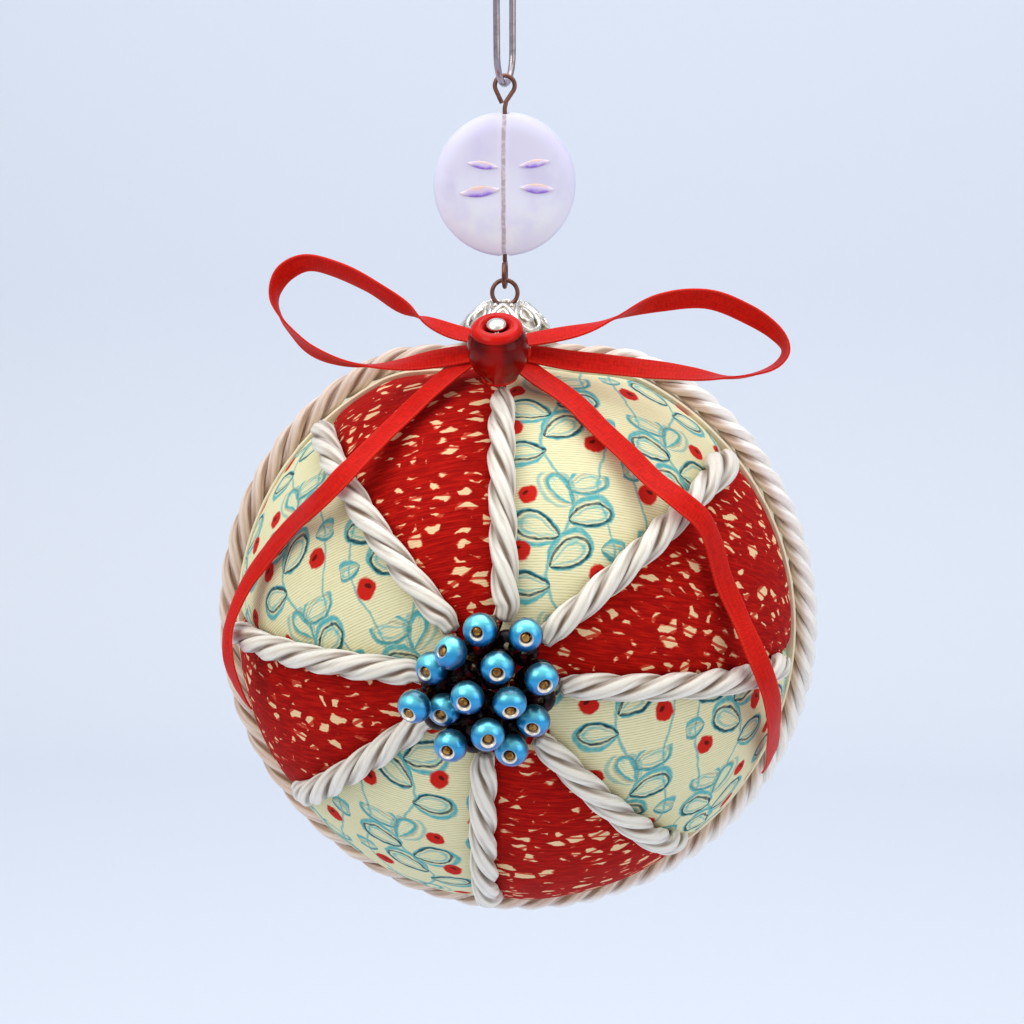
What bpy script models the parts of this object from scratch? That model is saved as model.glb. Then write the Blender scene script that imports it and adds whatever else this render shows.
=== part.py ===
# A temari style ball ornament: cloth panels over a ball, twisted cords on the seams, a bead
# cluster, a ribbon bow and the wire hook that it hangs from.
# Metres, +Z up, the bead cluster faces -Y. The origin is the inside top of the hook's upper
# crook, where a branch carries it, and the hanging line is x = 0, y = 0.

import math

import bmesh
import bpy
from mathutils import Vector

MM = 0.001
GAP = 0.3 * MM                   # between neighbouring pieces

# Ball and its panels
BALL_R = 35.0 * MM               # over the cloth
BALL_X = 1.4 * MM                # the ball hangs a little to the right of its eye pin
SEAM_GROOVE = 1.2 * MM           # how far the cloth is drawn in along a seam
SEAM_SPREAD = 1.3 * MM
BACK_GROOVE = 0.9 * MM
SEAM_MEET = 9.0 * MM             # inside this radius the front seams bend in to meet at the pole
POLE_R = 0.8 * MM
RIM_SEAT_R = 33.4 * MM           # the cloth under the rim tape
RIM_SEAT_HALF = 3.1 * MM
RIM_TUCK = 0.45 * MM             # the cloth's last row before the seat is drawn in by this
TOP_DIP = 2.0 * MM               # the rim is pressed in under the cap
TOP_DIP_FLAT = 10.0              # degrees each side of the top
TOP_DIP_END = 28.0
TOP_DIP_NEAR = 3.0 * MM          # the dip is full this near to the rim and gone at the next
TOP_DIP_FAR = 11.0 * MM
ROW_ANGLES = (8.0, 17.0, 27.0, 38.0, 49.0, 60.0, 71.0, 80.5, 83.8)
FRONT_STEPS = (0.15, 0.9, 1.7, 2.9)      # mm from a seam to the panel's first columns
BACK_STEPS = (0.15, 1.3)
NEAR_SHARE = 0.8                 # the first columns use at most this share of the half width
MID_SHARES = (0.4, 1.0)          # columns between them and the middle

# Seams: angle from the top (clockwise as seen from the front), sideways shift of the seam from
# the pole, and the polar angle where its cord stops
SEAMS = (
    # name, angle, aside in mm, cord end
    ("top", 355.3, 2.3, 60.4),
    ("upper_right", 50.4, -0.6, 72.0),
    ("right", 95.5, -1.0, 72.0),
    ("lower_right", 139.8, -0.2, 72.0),
    ("bottom", 182.6, 0.6, 74.0),
    ("lower_left", 230.2, 1.8, 71.5),
    ("left", 269.6, 1.5, 67.0),
    ("upper_left", 316.0, 1.4, 74.0),
)
PRINTS = ("cream", "red")        # clockwise from the top seam, in turn

# Twisted cords, three plies, laid up left-handed
CORD_LOBE = 1.7 * MM
CORD_VALLEY = 1.15 * MM
CORD_RIDGE = 5.2 * MM            # from one ridge to the next along the cord
CORD_LIFT = 1.15 * MM            # centre line above the cloth
CORD_START = 12.8                # polar angle under the beads
CORD_HEAD = (0.7, 0.92)          # size of the first sections, and of the last ones
CORD_TAIL = (0.88, 0.55)
RIM_LOBE = 1.5 * MM
RIM_VALLEY = 1.05 * MM
RIM_RIDGE = 4.0 * MM
RIM_CORD_R = 36.5 * MM
STEPS_PER_RIDGE = 4
TAPE_THICK = 1.0 * MM
TAPE_HALF = 2.5 * MM
TAPE_STEPS = 60
RIM_SPLIT = -2.3                 # degrees, where the rim cord's ends meet at the eye pin
RIM_SPLIT_HALF = 0.6 * MM

# Bead cluster: place seen along the ball's axis, the bead's distance from the ball's centre
# and whether a garnet bead shows under it
BEADS = (
    # x in mm, z in mm, distance in mm, garnet
    (-0.8, 8.0, 42.4, True),
    (4.3, 7.5, 42.4, True),
    (-4.0, 5.5, 43.0, False),
    (-6.5, 2.9, 39.7, False),
    (1.2, 3.9, 42.6, True),
    (6.1, 2.6, 42.4, True),
    (-8.2, -0.9, 42.6, False),
    (-5.1, -1.8, 39.6, False),
    (-2.1, 0.6, 43.2, False),
    (2.6, 0.0, 42.9, False),
    (5.0, -2.9, 39.7, False),
    (0.1, -3.7, 42.9, False),
    (-4.2, -5.5, 41.6, False),
    (2.5, -6.4, 39.7, False),
)
BEAD_R = 1.95 * MM
BEAD_HALF = 1.45 * MM
BEAD_SHOULDER_R = 1.05 * MM
BEAD_SHOULDER_HALF = 0.75 * MM
BEAD_HOLE_R = 0.75 * MM
BEAD_HOLE_FLOOR = 0.55 * MM      # the pin's head stands this high in the hole
BEAD_PIN_R = 0.35 * MM
PIN_CLEAR = 1.5 * GAP            # from the pin's foot to the cloth
GARNET_R = 1.95 * MM
GARNET_HALF = 1.2 * MM
GARNET_SHOULDER_R = 1.1 * MM
GARNET_SHOULDER_HALF = 0.5 * MM
GARNET_HOLE_HALF = 0.8 * MM
TURN_STEPS = 8

# Ribbon: loops are given by places in front of the ball, tails by places on the ball
RIBBON_WIDE = 3.1 * MM
RIBBON_THICK = 1.0 * MM
LOOP_Y = -13.0
LEFT_LOOP = (
    # x in mm, z in mm, lean of the near edge outwards in degrees
    (-3.0, 37.3, -20),
    (-6.6, 38.1, -24),
    (-9.6, 39.3, -10),
    (-12.5, 40.9, 36),
    (-16.5, 43.5, 40),
    (-20.8, 45.5, 42),
    (-24.2, 46.2, 44),
    (-26.8, 44.9, 40),
    (-28.0, 42.3, 14),
    (-27.4, 39.9, -10),
    (-26.0, 38.0, -22),
    (-23.9, 36.0, -29),
    (-20.8, 34.6, -24),
    (-17.2, 34.0, -8),
    (-13.0, 34.2, 16),
    (-8.8, 34.9, 36),
    (-4.0, 35.7, 34),
)
RIGHT_LOOP = (
    # x in mm, z in mm, lean of the near edge outwards in degrees
    (1.6, 37.2, -20),
    (5.6, 37.9, -24),
    (9.6, 38.8, -14),
    (13.7, 40.3, 12),
    (18.2, 41.9, 46),
    (23.6, 42.4, 52),
    (28.6, 40.6, 50),
    (32.0, 38.3, 36),
    (33.2, 36.0, 14),
    (31.4, 34.0, 2),
    (27.0, 32.9, -6),
    (21.5, 33.3, 24),
    (15.0, 34.0, 38),
    (8.0, 34.7, 40),
    (2.6, 35.5, 34),
)
LEFT_TAIL = (
    # polar angle, angle from the top, height of the middle above the cloth in mm
    (69.5, -2.0, 2.5),
    (69.8, -7.6, 2.3),
    (65.0, -13.1, 2.1),
    (58.7, -22.2, 1.6),
    (52.2, -30.3, 2.9),
    (48.1, -38.5, 4.2),
    (48.5, -47.2, 3.6),
    (53.6, -57.4, 1.8),
    (57.5, -67.1, 1.5),
    (60.3, -74.5, 1.9),
    (60.4, -80.5, 2.9),
    (59.2, -86.0, 3.9),
    (57.6, -91.0, 4.2),
    (57.7, -96.8, 3.5),
    (59.5, -102.0, 2.2),
)
RIGHT_TAIL = (
    # polar angle, angle from the top, height of the middle above the cloth in mm
    (69.5, 1.0, 2.5),
    (64.5, 7.0, 2.0),
    (60.3, 14.8, 1.6),
    (55.7, 22.3, 1.5),
    (52.4, 30.3, 1.9),
    (49.2, 38.6, 3.0),
    (48.2, 46.0, 4.3),
    (49.1, 52.9, 4.3),
    (50.0, 60.1, 2.9),
    (50.2, 68.3, 1.7),
    (50.9, 76.2, 1.9),
    (50.7, 84.4, 3.5),
    (52.9, 92.5, 4.4),
    (58.9, 101.0, 3.6),
    (67.0, 108.4, 2.2),
    (77.5, 115.0, 1.5),
)
KNOT_POLAR = (69.6, -1.0)        # polar angle and angle from the top
KNOT_HEIGHT = 3.1 * MM           # above the cloth
KNOT_HALF = (4.6 * MM, 2.0 * MM, 2.0 * MM)

# Red bead on the bow, and its pin
BOW_BEAD_POLAR = (62.3, -1.0)
BOW_BEAD_BASE_R = 38.4 * MM
BOW_BEAD_TOP = 6.7 * MM
BOW_BEAD_RECESS = 0.5 * MM
BOW_BEAD_ROWS = (
    # radius and height above the base in mm, from the top down
    (1.9, 6.7), (3.05, 6.2), (3.7, 4.5), (3.7, 2.4), (2.9, 0.9), (1.6, 0.0),
)
BOW_BEAD_FACETS = 8
BOW_PIN_R = 0.35 * MM
BOW_PIN_SEAT = 0.05 * MM         # the head's underside above the bead
BOW_PIN_HEAD_ROWS = (
    # radius and height above the seat in mm
    (0.0, 0.75), (0.8, 0.6), (1.22, 0.15), (1.22, 0.1),
)
BOW_PIN_STEPS = 10

# Cap, wires and glass bead, by heights above the ball's centre
CAP_ROWS = (
    # radius and height in mm, over the top from the hole and back underneath
    (0.6, 39.3), (1.9, 39.4), (2.4, 40.3), (3.4, 39.6), (4.8, 38.3), (5.6, 37.0), (5.6, 36.4),
    (5.0, 36.4), (4.1, 37.9), (2.7, 38.7), (0.6, 38.6),
)
CAP_STEPS = 16
WIRE = 0.55 * MM
RING_MID = 41.6 * MM
RING_R = 1.58 * MM
RING_FOOT = 33.3 * MM
RING_OPEN = -56.0                # degrees, where the ring's wire ends beside its stem
LOW_EYE_MID = 43.95 * MM
LOW_EYE_R = 1.62 * MM
LOW_EYE_OPEN = 124.0
HIGH_EYE_MID = 67.0 * MM
HIGH_EYE_R = 1.22 * MM
HIGH_EYE_NECK = 64.75 * MM
HIGH_EYE_SWEEP = (-28.0, 208.0)
EYE_STEPS = 18
COIN_MID = 55.0 * MM
COIN_R = 8.85 * MM
COIN_ROWS = (
    # radius and half thickness in mm, from the middle out
    (0.0, 2.4), (3.2, 2.25), (6.4, 1.8), (8.25, 1.1), (8.85, 0.0),
)
COIN_STEPS = 28
COIN_BORE_R = 0.62 * MM
COIN_TURN = 12.0                 # degrees about its pin

# Hook, drawn in its own upright plane: u towards the back, v above the ball's centre
HOOK_WIRE = 0.85 * MM
HOOK_TURN = -10.0                # degrees of its plane from the Y axis
LOW_CROOK_R = 3.8 * MM
HIGH_CROOK_R = 6.0 * MM
HIGH_CROOK_MID = 103.0 * MM
SHANK_FROM = 79.0 * MM
SHANK_TO = 100.0 * MM
FREE_END = 83.0 * MM
TIP_END = 95.5 * MM
FLARE = 0.9 * MM                 # how far each end bends outwards
FLARE_LONG = 3.0 * MM
CROOK_STEPS = 12
SHANK_STEPS = 6

# Heights that follow from the others
EYE_INSIDE_TOP = HIGH_EYE_MID + HIGH_EYE_R - WIRE / 2
LOW_CROOK_MID = EYE_INSIDE_TOP - GAP - HOOK_WIRE / 2 + LOW_CROOK_R
HANG_HEIGHT = HIGH_CROOK_MID + HIGH_CROOK_R - HOOK_WIRE / 2

COLOURS = {
    "cream": ((0.88, 0.85, 0.56), 0.75, 0.0),
    "red": ((0.55, 0.03, 0.02), 0.75, 0.0),
    "cord": ((0.85, 0.80, 0.75), 0.45, 0.0),
    "tape": ((0.85, 0.78, 0.62), 0.7, 0.0),
    "blue": ((0.08, 0.42, 0.80), 0.25, 0.8),
    "garnet": ((0.12, 0.0, 0.01), 0.15, 0.0),
    "ribbon": ((0.52, 0.01, 0.01), 0.4, 0.0),
    "ruby": ((0.60, 0.01, 0.01), 0.1, 0.0),
    "silver": ((0.80, 0.78, 0.76), 0.25, 1.0),
    "copper": ((0.38, 0.22, 0.17), 0.35, 1.0),
    "lilac": ((0.74, 0.66, 0.84), 0.3, 0.0),
    "steel": ((0.62, 0.60, 0.64), 0.25, 1.0),
}


def clear_scene():
    for thing in list(bpy.data.objects):
        bpy.data.objects.remove(thing, do_unlink=True)


def new_collection(name):
    group = bpy.data.collections.new(name)
    bpy.context.scene.collection.children.link(group)
    return group


def material_for(name, finish):
    colour, roughness, metallic = COLOURS[finish]
    mat = bpy.data.materials.new(name)
    mat.use_nodes = True
    shader = mat.node_tree.nodes["Principled BSDF"]
    shader.inputs["Base Color"].default_value = (*colour, 1.0)
    shader.inputs["Roughness"].default_value = roughness
    shader.inputs["Metallic"].default_value = metallic
    return mat


def add_part(name, data, finish, parent):
    part = bpy.data.objects.new(name, data)
    parts.objects.link(part)
    part.parent = parent
    data.materials.append(material_for(name, finish))
    return part


def closed_mesh(name, points, faces):
    data = bpy.data.meshes.new(name)
    data.from_pydata([tuple(p) for p in points], [], faces)
    work = bmesh.new()
    work.from_mesh(data)
    bmesh.ops.recalc_face_normals(work, faces=work.faces)
    work.to_mesh(data)
    work.free()
    return data


def on_ball(polar, angle, radius):
    return Vector((radius * math.sin(polar) * math.sin(angle),
                   -radius * math.cos(polar),
                   radius * math.sin(polar) * math.cos(angle)))


def in_mm(rows):
    return [(first * MM, second * MM) for first, second in rows]


def smooth(x):
    x = min(1.0, max(0.0, x))
    return x * x * (3.0 - 2.0 * x)


def top_dip(angle):
    # The rim's drop under the cap, for an angle from the top in radians.
    away = abs((math.degrees(angle) + 180.0) % 360.0 - 180.0)
    return TOP_DIP * smooth((TOP_DIP_END - away) / (TOP_DIP_END - TOP_DIP_FLAT))


def seam_angle(seam, rho):
    name, angle, aside, cord_end = seam
    bend = min(1.0, (rho / SEAM_MEET) ** 2)
    return math.radians(angle) + math.asin(aside * MM * bend / rho)


def groove(distance, depth):
    return depth * math.exp(-(distance / SEAM_SPREAD) ** 2)


def column_angles(first, last, rho, steps):
    # Angles across a panel, close together beside the seams and wider apart between.
    half = rho * (last - first) / 2
    squeeze = min(1.0, NEAR_SHARE * half / (steps[-1] * MM))
    near = [max(steps[0], step * squeeze) * MM for step in steps]
    between = [near[-1] + (half - near[-1]) * part for part in MID_SHARES]
    if len(steps) < len(FRONT_STEPS):
        between = [half]
    away = near + between
    left = [(first + d / rho, d) for d in away]
    right = [(last - d / rho, d) for d in reversed(away[:-1])]
    return left + right


def panel(name, finish, seam, next_seam, front):
    # One cloth wedge with its filling, from the pole to the rim.
    side = 1.0 if front else -1.0
    steps = FRONT_STEPS if front else BACK_STEPS
    depth = SEAM_GROOVE if front else BACK_GROOVE
    rims = [(RIM_SEAT_R, RIM_SEAT_HALF), (RIM_SEAT_R, GAP / 2)]
    polars = [math.asin(POLE_R / BALL_R)] + [math.radians(a) for a in ROW_ANGLES]
    points, rows = [], []
    for index in range(len(polars) + len(rims)):
        on_rim = index >= len(polars)
        rho = BALL_R if on_rim else BALL_R * math.sin(polars[index])
        place = rho if front else BALL_R
        first, last = seam_angle(seam, place), seam_angle(next_seam, place)
        if last < first:
            last += 2 * math.pi
        row = []
        for angle, distance in column_angles(first, last, rho, steps):
            drop = groove(distance, depth)
            if on_rim:
                seat, height = rims[index - len(polars)]
                radius = seat - top_dip(angle)
                spot = Vector((radius * math.sin(angle), -height, radius * math.cos(angle)))
            else:
                from_rim = BALL_R * math.cos(polars[index])
                near_rim = smooth((TOP_DIP_FAR - from_rim) / (TOP_DIP_FAR - TOP_DIP_NEAR))
                tuck = RIM_TUCK if index == len(polars) - 1 else 0.0
                radius = BALL_R - drop - tuck - top_dip(angle) * near_rim
                spot = on_ball(polars[index], angle, radius)
            row.append(len(points))
            points.append(Vector((spot.x, spot.y * side, spot.z)))
        inner = []
        if index:
            height = points[row[0]].y
            for edge, sign in ((first, 1.0), (last, -1.0)):
                core = seam_angle(seam if sign > 0 else next_seam, POLE_R if front else BALL_R)
                core += sign * FRONT_STEPS[0] * MM / POLE_R
                inner.append(len(points))
                points.append(Vector((POLE_R * math.sin(core), height, POLE_R * math.cos(core))))
        else:
            inner = [row[0], row[-1]]
        rows.append((row, inner))
    faces = []
    for (row, inner), (lower, core) in zip(rows, rows[1:]):
        for k in range(len(row) - 1):
            faces.append((row[k], row[k + 1], lower[k + 1], lower[k]))
        if inner[0] == row[0]:
            faces.append((row[0], core[0], lower[0]))
            faces.append((row[-1], lower[-1], core[1]))
            faces.append(tuple(row) + (core[1], core[0]))
        else:
            faces.append((row[0], inner[0], core[0]))
            faces.append((row[0], core[0], lower[0]))
            faces.append((row[-1], core[1], inner[1]))
            faces.append((row[-1], lower[-1], core[1]))
            faces.append((inner[0], inner[1], core[1], core[0]))
    last_row, last_inner = rows[-1]
    faces.append(tuple(last_row) + (last_inner[1], last_inner[0]))
    add_part(name, closed_mesh(name, points, faces), finish, ball)


def twisted_cord(name, route, lobe, valley, ridge, sizes, finish):
    # A three-lobed section that turns left-handed along the route of (point, outward) pairs.
    points, faces = [], []
    turn = 0.0
    for index, (spot, outward) in enumerate(route):
        before = route[max(0, index - 1)][0]
        after = route[min(len(route) - 1, index + 1)][0]
        along = (after - before).normalized()
        across = along.cross(outward).normalized()
        up = across.cross(along)
        if index:
            turn -= math.radians(120.0) * (spot - route[index - 1][0]).length / ridge
        for corner in range(6):
            reach = (valley if corner % 2 else lobe) * sizes[index]
            angle = turn + math.radians(60.0) * corner
            points.append(spot + reach * (math.cos(angle) * up + math.sin(angle) * across))
        if index:
            base = 6 * index
            for corner in range(6):
                following = (corner + 1) % 6
                faces.append((base - 6 + corner, base - 6 + following,
                              base + following, base + corner))
    faces.append(tuple(range(6)))
    faces.append(tuple(range(6 * len(route) - 6, 6 * len(route))))
    add_part(name, closed_mesh(name, points, faces), finish, ball)


def seam_cord(seam):
    name, angle, aside, cord_end = seam
    radius = BALL_R + CORD_LIFT
    sweep = math.radians(cord_end - CORD_START)
    count = round(sweep * radius / CORD_RIDGE * STEPS_PER_RIDGE)
    route = []
    for k in range(count + 1):
        polar = math.radians(CORD_START) + sweep * k / count
        spot = on_ball(polar, seam_angle(seam, BALL_R * math.sin(polar)), radius)
        route.append((spot, spot.normalized()))
    full = count + 1 - len(CORD_HEAD) - len(CORD_TAIL)
    sizes = list(CORD_HEAD) + [1.0] * full + list(CORD_TAIL)
    twisted_cord("seam_cord_" + name, route, CORD_LOBE, CORD_VALLEY, CORD_RIDGE, sizes, "cord")


def rim_angles(count):
    split = RIM_SPLIT_HALF / (RIM_CORD_R - TOP_DIP)
    start = math.radians(RIM_SPLIT) + split
    sweep = 2 * math.pi - 2 * split
    return [start + sweep * k / count for k in range(count + 1)]


def rim_cord():
    count = round(2 * math.pi * RIM_CORD_R / RIM_RIDGE) * STEPS_PER_RIDGE
    route = []
    for angle in rim_angles(count):
        outward = Vector((math.sin(angle), 0.0, math.cos(angle)))
        route.append(((RIM_CORD_R - top_dip(angle)) * outward, outward))
    twisted_cord("rim_cord", route, RIM_LOBE, RIM_VALLEY, RIM_RIDGE, [1.0] * len(route), "cord")


def rim_tape():
    outer = RIM_CORD_R - RIM_LOBE - GAP
    inner = outer - TAPE_THICK
    points, faces = [], []
    angles = rim_angles(TAPE_STEPS)
    for index, angle in enumerate(angles):
        dip = top_dip(angle)
        for radius, y in ((outer, -TAPE_HALF), (outer, TAPE_HALF),
                          (inner, TAPE_HALF), (inner, -TAPE_HALF)):
            points.append(((radius - dip) * math.sin(angle), y, (radius - dip) * math.cos(angle)))
        if index:
            base = 4 * index
            for corner in range(4):
                following = (corner + 1) % 4
                faces.append((base - 4 + corner, base - 4 + following,
                              base + following, base + corner))
    faces.append((0, 1, 2, 3))
    faces.append(tuple(range(4 * len(angles) - 4, 4 * len(angles))))
    add_part("rim_tape", closed_mesh("rim_tape", points, faces), "tape", ball)


def turned(name, profile, steps, finish, spot, direction, parent, smooth_sides=True):
    # A profile of (radius, height) rows, top to bottom on its outer side, spun about its axis.
    data = bpy.data.meshes.new(name)
    rows = [(r, 0.0, h) for r, h in profile]
    edges = [(k, k + 1) for k in range(len(rows) - 1)]
    if profile[0][0] > 0.0:
        edges.append((len(rows) - 1, 0))
    data.from_pydata(rows, edges, [])
    part = add_part(name, data, finish, parent)
    part.location = spot
    part.rotation_mode = "QUATERNION"
    part.rotation_quaternion = direction.to_track_quat("Z", "Y")
    screw = part.modifiers.new("Screw", "SCREW")
    screw.steps = screw.render_steps = steps
    screw.use_merge_vertices = True
    screw.merge_threshold = 0.00002
    screw.use_smooth_shade = smooth_sides
    return part


def nearest_seam(spot):
    # The distance from a place on the front to the nearest seam, measured round the axis.
    rho = math.hypot(spot.x, spot.z)
    angle = math.atan2(spot.x, spot.z)
    best = BALL_R
    for seam in SEAMS:
        turn = (angle - seam_angle(seam, max(rho, POLE_R)) + math.pi) % (2 * math.pi) - math.pi
        best = min(best, rho * abs(turn))
    return best


def bead_cluster():
    garnets = 0
    for number, (x, z, distance, garnet) in enumerate(BEADS, 1):
        flat = math.hypot(x, z)
        middle = Vector((x, -math.sqrt(distance ** 2 - flat ** 2), z)) * MM
        outward = middle.normalized()
        foot = BALL_R - groove(nearest_seam(outward * BALL_R), SEAM_GROOVE) + PIN_CLEAR
        length = middle.length - foot
        profile = [(0.0, BEAD_HOLE_FLOOR), (BEAD_HOLE_R, BEAD_HOLE_FLOOR),
                   (BEAD_SHOULDER_R, BEAD_HALF), (BEAD_R, BEAD_SHOULDER_HALF),
                   (BEAD_R, -BEAD_SHOULDER_HALF), (BEAD_SHOULDER_R, -BEAD_HALF),
                   (BEAD_PIN_R, -BEAD_HALF), (BEAD_PIN_R, -length), (0.0, -length)]
        turned("blue_bead_%02d" % number, profile, TURN_STEPS, "blue", middle, outward, ball)
        if garnet:
            garnets += 1
            below = outward * (middle.length - BEAD_HALF - GARNET_HALF - GAP)
            ring = [(GARNET_SHOULDER_R, GARNET_HALF), (GARNET_R, GARNET_SHOULDER_HALF),
                    (GARNET_R, -GARNET_SHOULDER_HALF), (GARNET_SHOULDER_R, -GARNET_HALF),
                    (BEAD_PIN_R + GAP, -GARNET_HOLE_HALF), (BEAD_PIN_R + GAP, GARNET_HOLE_HALF)]
            turned("garnet_bead_%d" % garnets, ring, TURN_STEPS, "garnet", below, outward, ball)


def through_rows(rows, per_gap):
    # A smooth line through rows of numbers, with per_gap steps between two rows.
    dense = []
    for k in range(len(rows) - 1):
        a, b, c, d = (rows[max(0, k - 1)], rows[k], rows[k + 1], rows[min(len(rows) - 1, k + 2)])
        for step in range(per_gap):
            t = step / per_gap
            dense.append(tuple(
                0.5 * (2 * q + (r - p) * t + (2 * p - 5 * q + 4 * r - s) * t ** 2
                       + (3 * q - p - 3 * r + s) * t ** 3)
                for p, q, r, s in zip(a, b, c, d)))
    dense.append(rows[-1])
    return dense


def strip_mesh(name, stations):
    # A ribbon through stations of (middle, along its width, across its thickness).
    points, faces = [], []
    for index, (spot, width, face) in enumerate(stations):
        for u, v in ((-1, -1), (1, -1), (1, 1), (-1, 1)):
            points.append(spot + width * (u * RIBBON_WIDE / 2) + face * (v * RIBBON_THICK / 2))
        if index:
            base = 4 * index
            for corner in range(4):
                following = (corner + 1) % 4
                faces.append((base - 4 + corner, base - 4 + following,
                              base + following, base + corner))
    faces.append((0, 1, 2, 3))
    faces.append(tuple(range(4 * len(stations) - 4, 4 * len(stations))))
    return closed_mesh(name, points, faces)


def loop_stations(rows, outward_side):
    # outward_side is 1 where the loop runs clockwise as seen from the front, -1 the other way.
    dense = through_rows(rows, 2)
    places = [Vector((x, LOOP_Y, z)) * MM for x, z, lean in dense]
    stations = []
    for index, (x, z, lean) in enumerate(dense):
        before, after = places[max(0, index - 1)], places[min(len(places) - 1, index + 1)]
        along = (after - before).normalized()
        outward = Vector((-along.z, 0.0, along.x)) * outward_side
        tip = math.radians(lean)
        width = Vector((0.0, -math.cos(tip), 0.0)) + outward * math.sin(tip)
        stations.append((places[index], width, along.cross(width).normalized()))
    return stations


def tail_stations(rows):
    dense = through_rows(rows, 2)
    places = [on_ball(math.radians(polar), math.radians(angle), BALL_R + lift * MM)
              for polar, angle, lift in dense]
    stations = []
    for index, spot in enumerate(places):
        before, after = places[max(0, index - 1)], places[min(len(places) - 1, index + 1)]
        along = (after - before).normalized()
        width = along.cross(spot.normalized()).normalized()
        stations.append((spot, width, along.cross(width).normalized()))
    return stations


def ribbon_bow():
    bow = add_part("ribbon_bow", strip_mesh("ribbon_bow", loop_stations(LEFT_LOOP, -1)),
                   "ribbon", ball)
    polar, angle = (math.radians(a) for a in KNOT_POLAR)
    middle = on_ball(polar, angle, BALL_R + KNOT_HEIGHT)
    knot_data = bpy.data.meshes.new("bow_knot")
    work = bmesh.new()
    bmesh.ops.create_uvsphere(work, u_segments=10, v_segments=6, radius=1.0)
    for vert in work.verts:
        vert.co = Vector(k * c for k, c in zip(KNOT_HALF, vert.co))
    work.to_mesh(knot_data)
    work.free()
    knot = bpy.data.objects.new("bow_knot", knot_data)
    knot.location = middle
    knot.rotation_mode = "QUATERNION"
    knot.rotation_quaternion = middle.normalized().to_track_quat("Z", "Y")
    pieces = [knot]
    for name, stations in (("right_loop", loop_stations(RIGHT_LOOP, 1)),
                           ("left_tail", tail_stations(LEFT_TAIL)),
                           ("right_tail", tail_stations(RIGHT_TAIL))):
        pieces.append(bpy.data.objects.new(name, strip_mesh(name, stations)))
    for piece in pieces:
        piece.parent = ball
        piece.hide_render = True
        piece.display_type = "WIRE"
        joiners.objects.link(piece)
        union = bow.modifiers.new(piece.name, "BOOLEAN")
        union.operation = "UNION"
        union.solver = "EXACT"
        union.use_self = True
        union.object = piece


def bow_bead():
    polar, angle = (math.radians(a) for a in BOW_BEAD_POLAR)
    outward = on_ball(polar, angle, 1.0)
    bore = BOW_PIN_R + GAP
    profile = [(bore, BOW_BEAD_TOP - BOW_BEAD_RECESS)] + in_mm(BOW_BEAD_ROWS) + [(bore, 0.0)]
    turned("bow_bead", profile, BOW_BEAD_FACETS, "ruby", outward * BOW_BEAD_BASE_R, outward,
           ball, smooth_sides=False)
    seat = BOW_BEAD_TOP + BOW_PIN_SEAT
    cloth = BALL_R - groove(nearest_seam(outward * BALL_R), SEAM_GROOVE)
    foot = BOW_BEAD_BASE_R - cloth - GAP
    head = [(r, seat + h) for r, h in in_mm(BOW_PIN_HEAD_ROWS)]
    head += [(BOW_PIN_R, seat), (BOW_PIN_R, -foot), (0.0, -foot)]
    turned("bow_pin", head, BOW_PIN_STEPS, "silver", outward * BOW_BEAD_BASE_R, outward, ball)


def bead_cap():
    turned("bead_cap", in_mm(CAP_ROWS), CAP_STEPS, "silver", Vector(), Vector((0, 0, 1)), line)


def arc(middle_u, middle_v, radius, start, end, count):
    return [(middle_u + radius * math.cos(math.radians(start + (end - start) * k / count)),
             middle_v + radius * math.sin(math.radians(start + (end - start) * k / count)))
            for k in range(count + 1)]


def wire(name, places, thickness, finish, parent):
    data = bpy.data.curves.new(name, "CURVE")
    data.dimensions = "3D"
    data.bevel_depth = thickness / 2
    data.bevel_resolution = 2
    data.use_fill_caps = True
    spline = data.splines.new("POLY")
    spline.points.add(len(places) - 1)
    for point, place in zip(spline.points, places):
        point.co = (*place, 1.0)
    add_part(name, data, finish, parent)


def ball_ring():
    turns = arc(0.0, RING_MID, RING_R, RING_OPEN, 270.0, EYE_STEPS)
    foot = [(0.0, RING_MID - RING_R - WIRE), (0.0, RING_FOOT)]
    wire("ball_ring", [(u, 0.0, v) for u, v in turns + foot], WIRE, "copper", line)


def link_pin():
    # The lower eye lies across the ring, the upper eye faces the front.
    low = arc(0.0, LOW_EYE_MID, LOW_EYE_R, LOW_EYE_OPEN, 450.0, EYE_STEPS)
    lower_eye = [(0.0, u, v) for u, v in low]
    high = arc(0.0, HIGH_EYE_MID, HIGH_EYE_R, *HIGH_EYE_SWEEP, 12)
    upper_eye = [(u, 0.0, v) for u, v in high]
    neck = [(-0.9 * WIRE, 0.0, HIGH_EYE_NECK + WIRE)]
    pin_top = (0.0, 0.0, HIGH_EYE_NECK - 0.9 * WIRE)
    neck_turn = (0.3 * WIRE, 0.0, HIGH_EYE_NECK + 0.6 * WIRE)
    wire("link_pin", lower_eye + [pin_top, neck_turn] + upper_eye + neck, WIRE, "copper", line)


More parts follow.
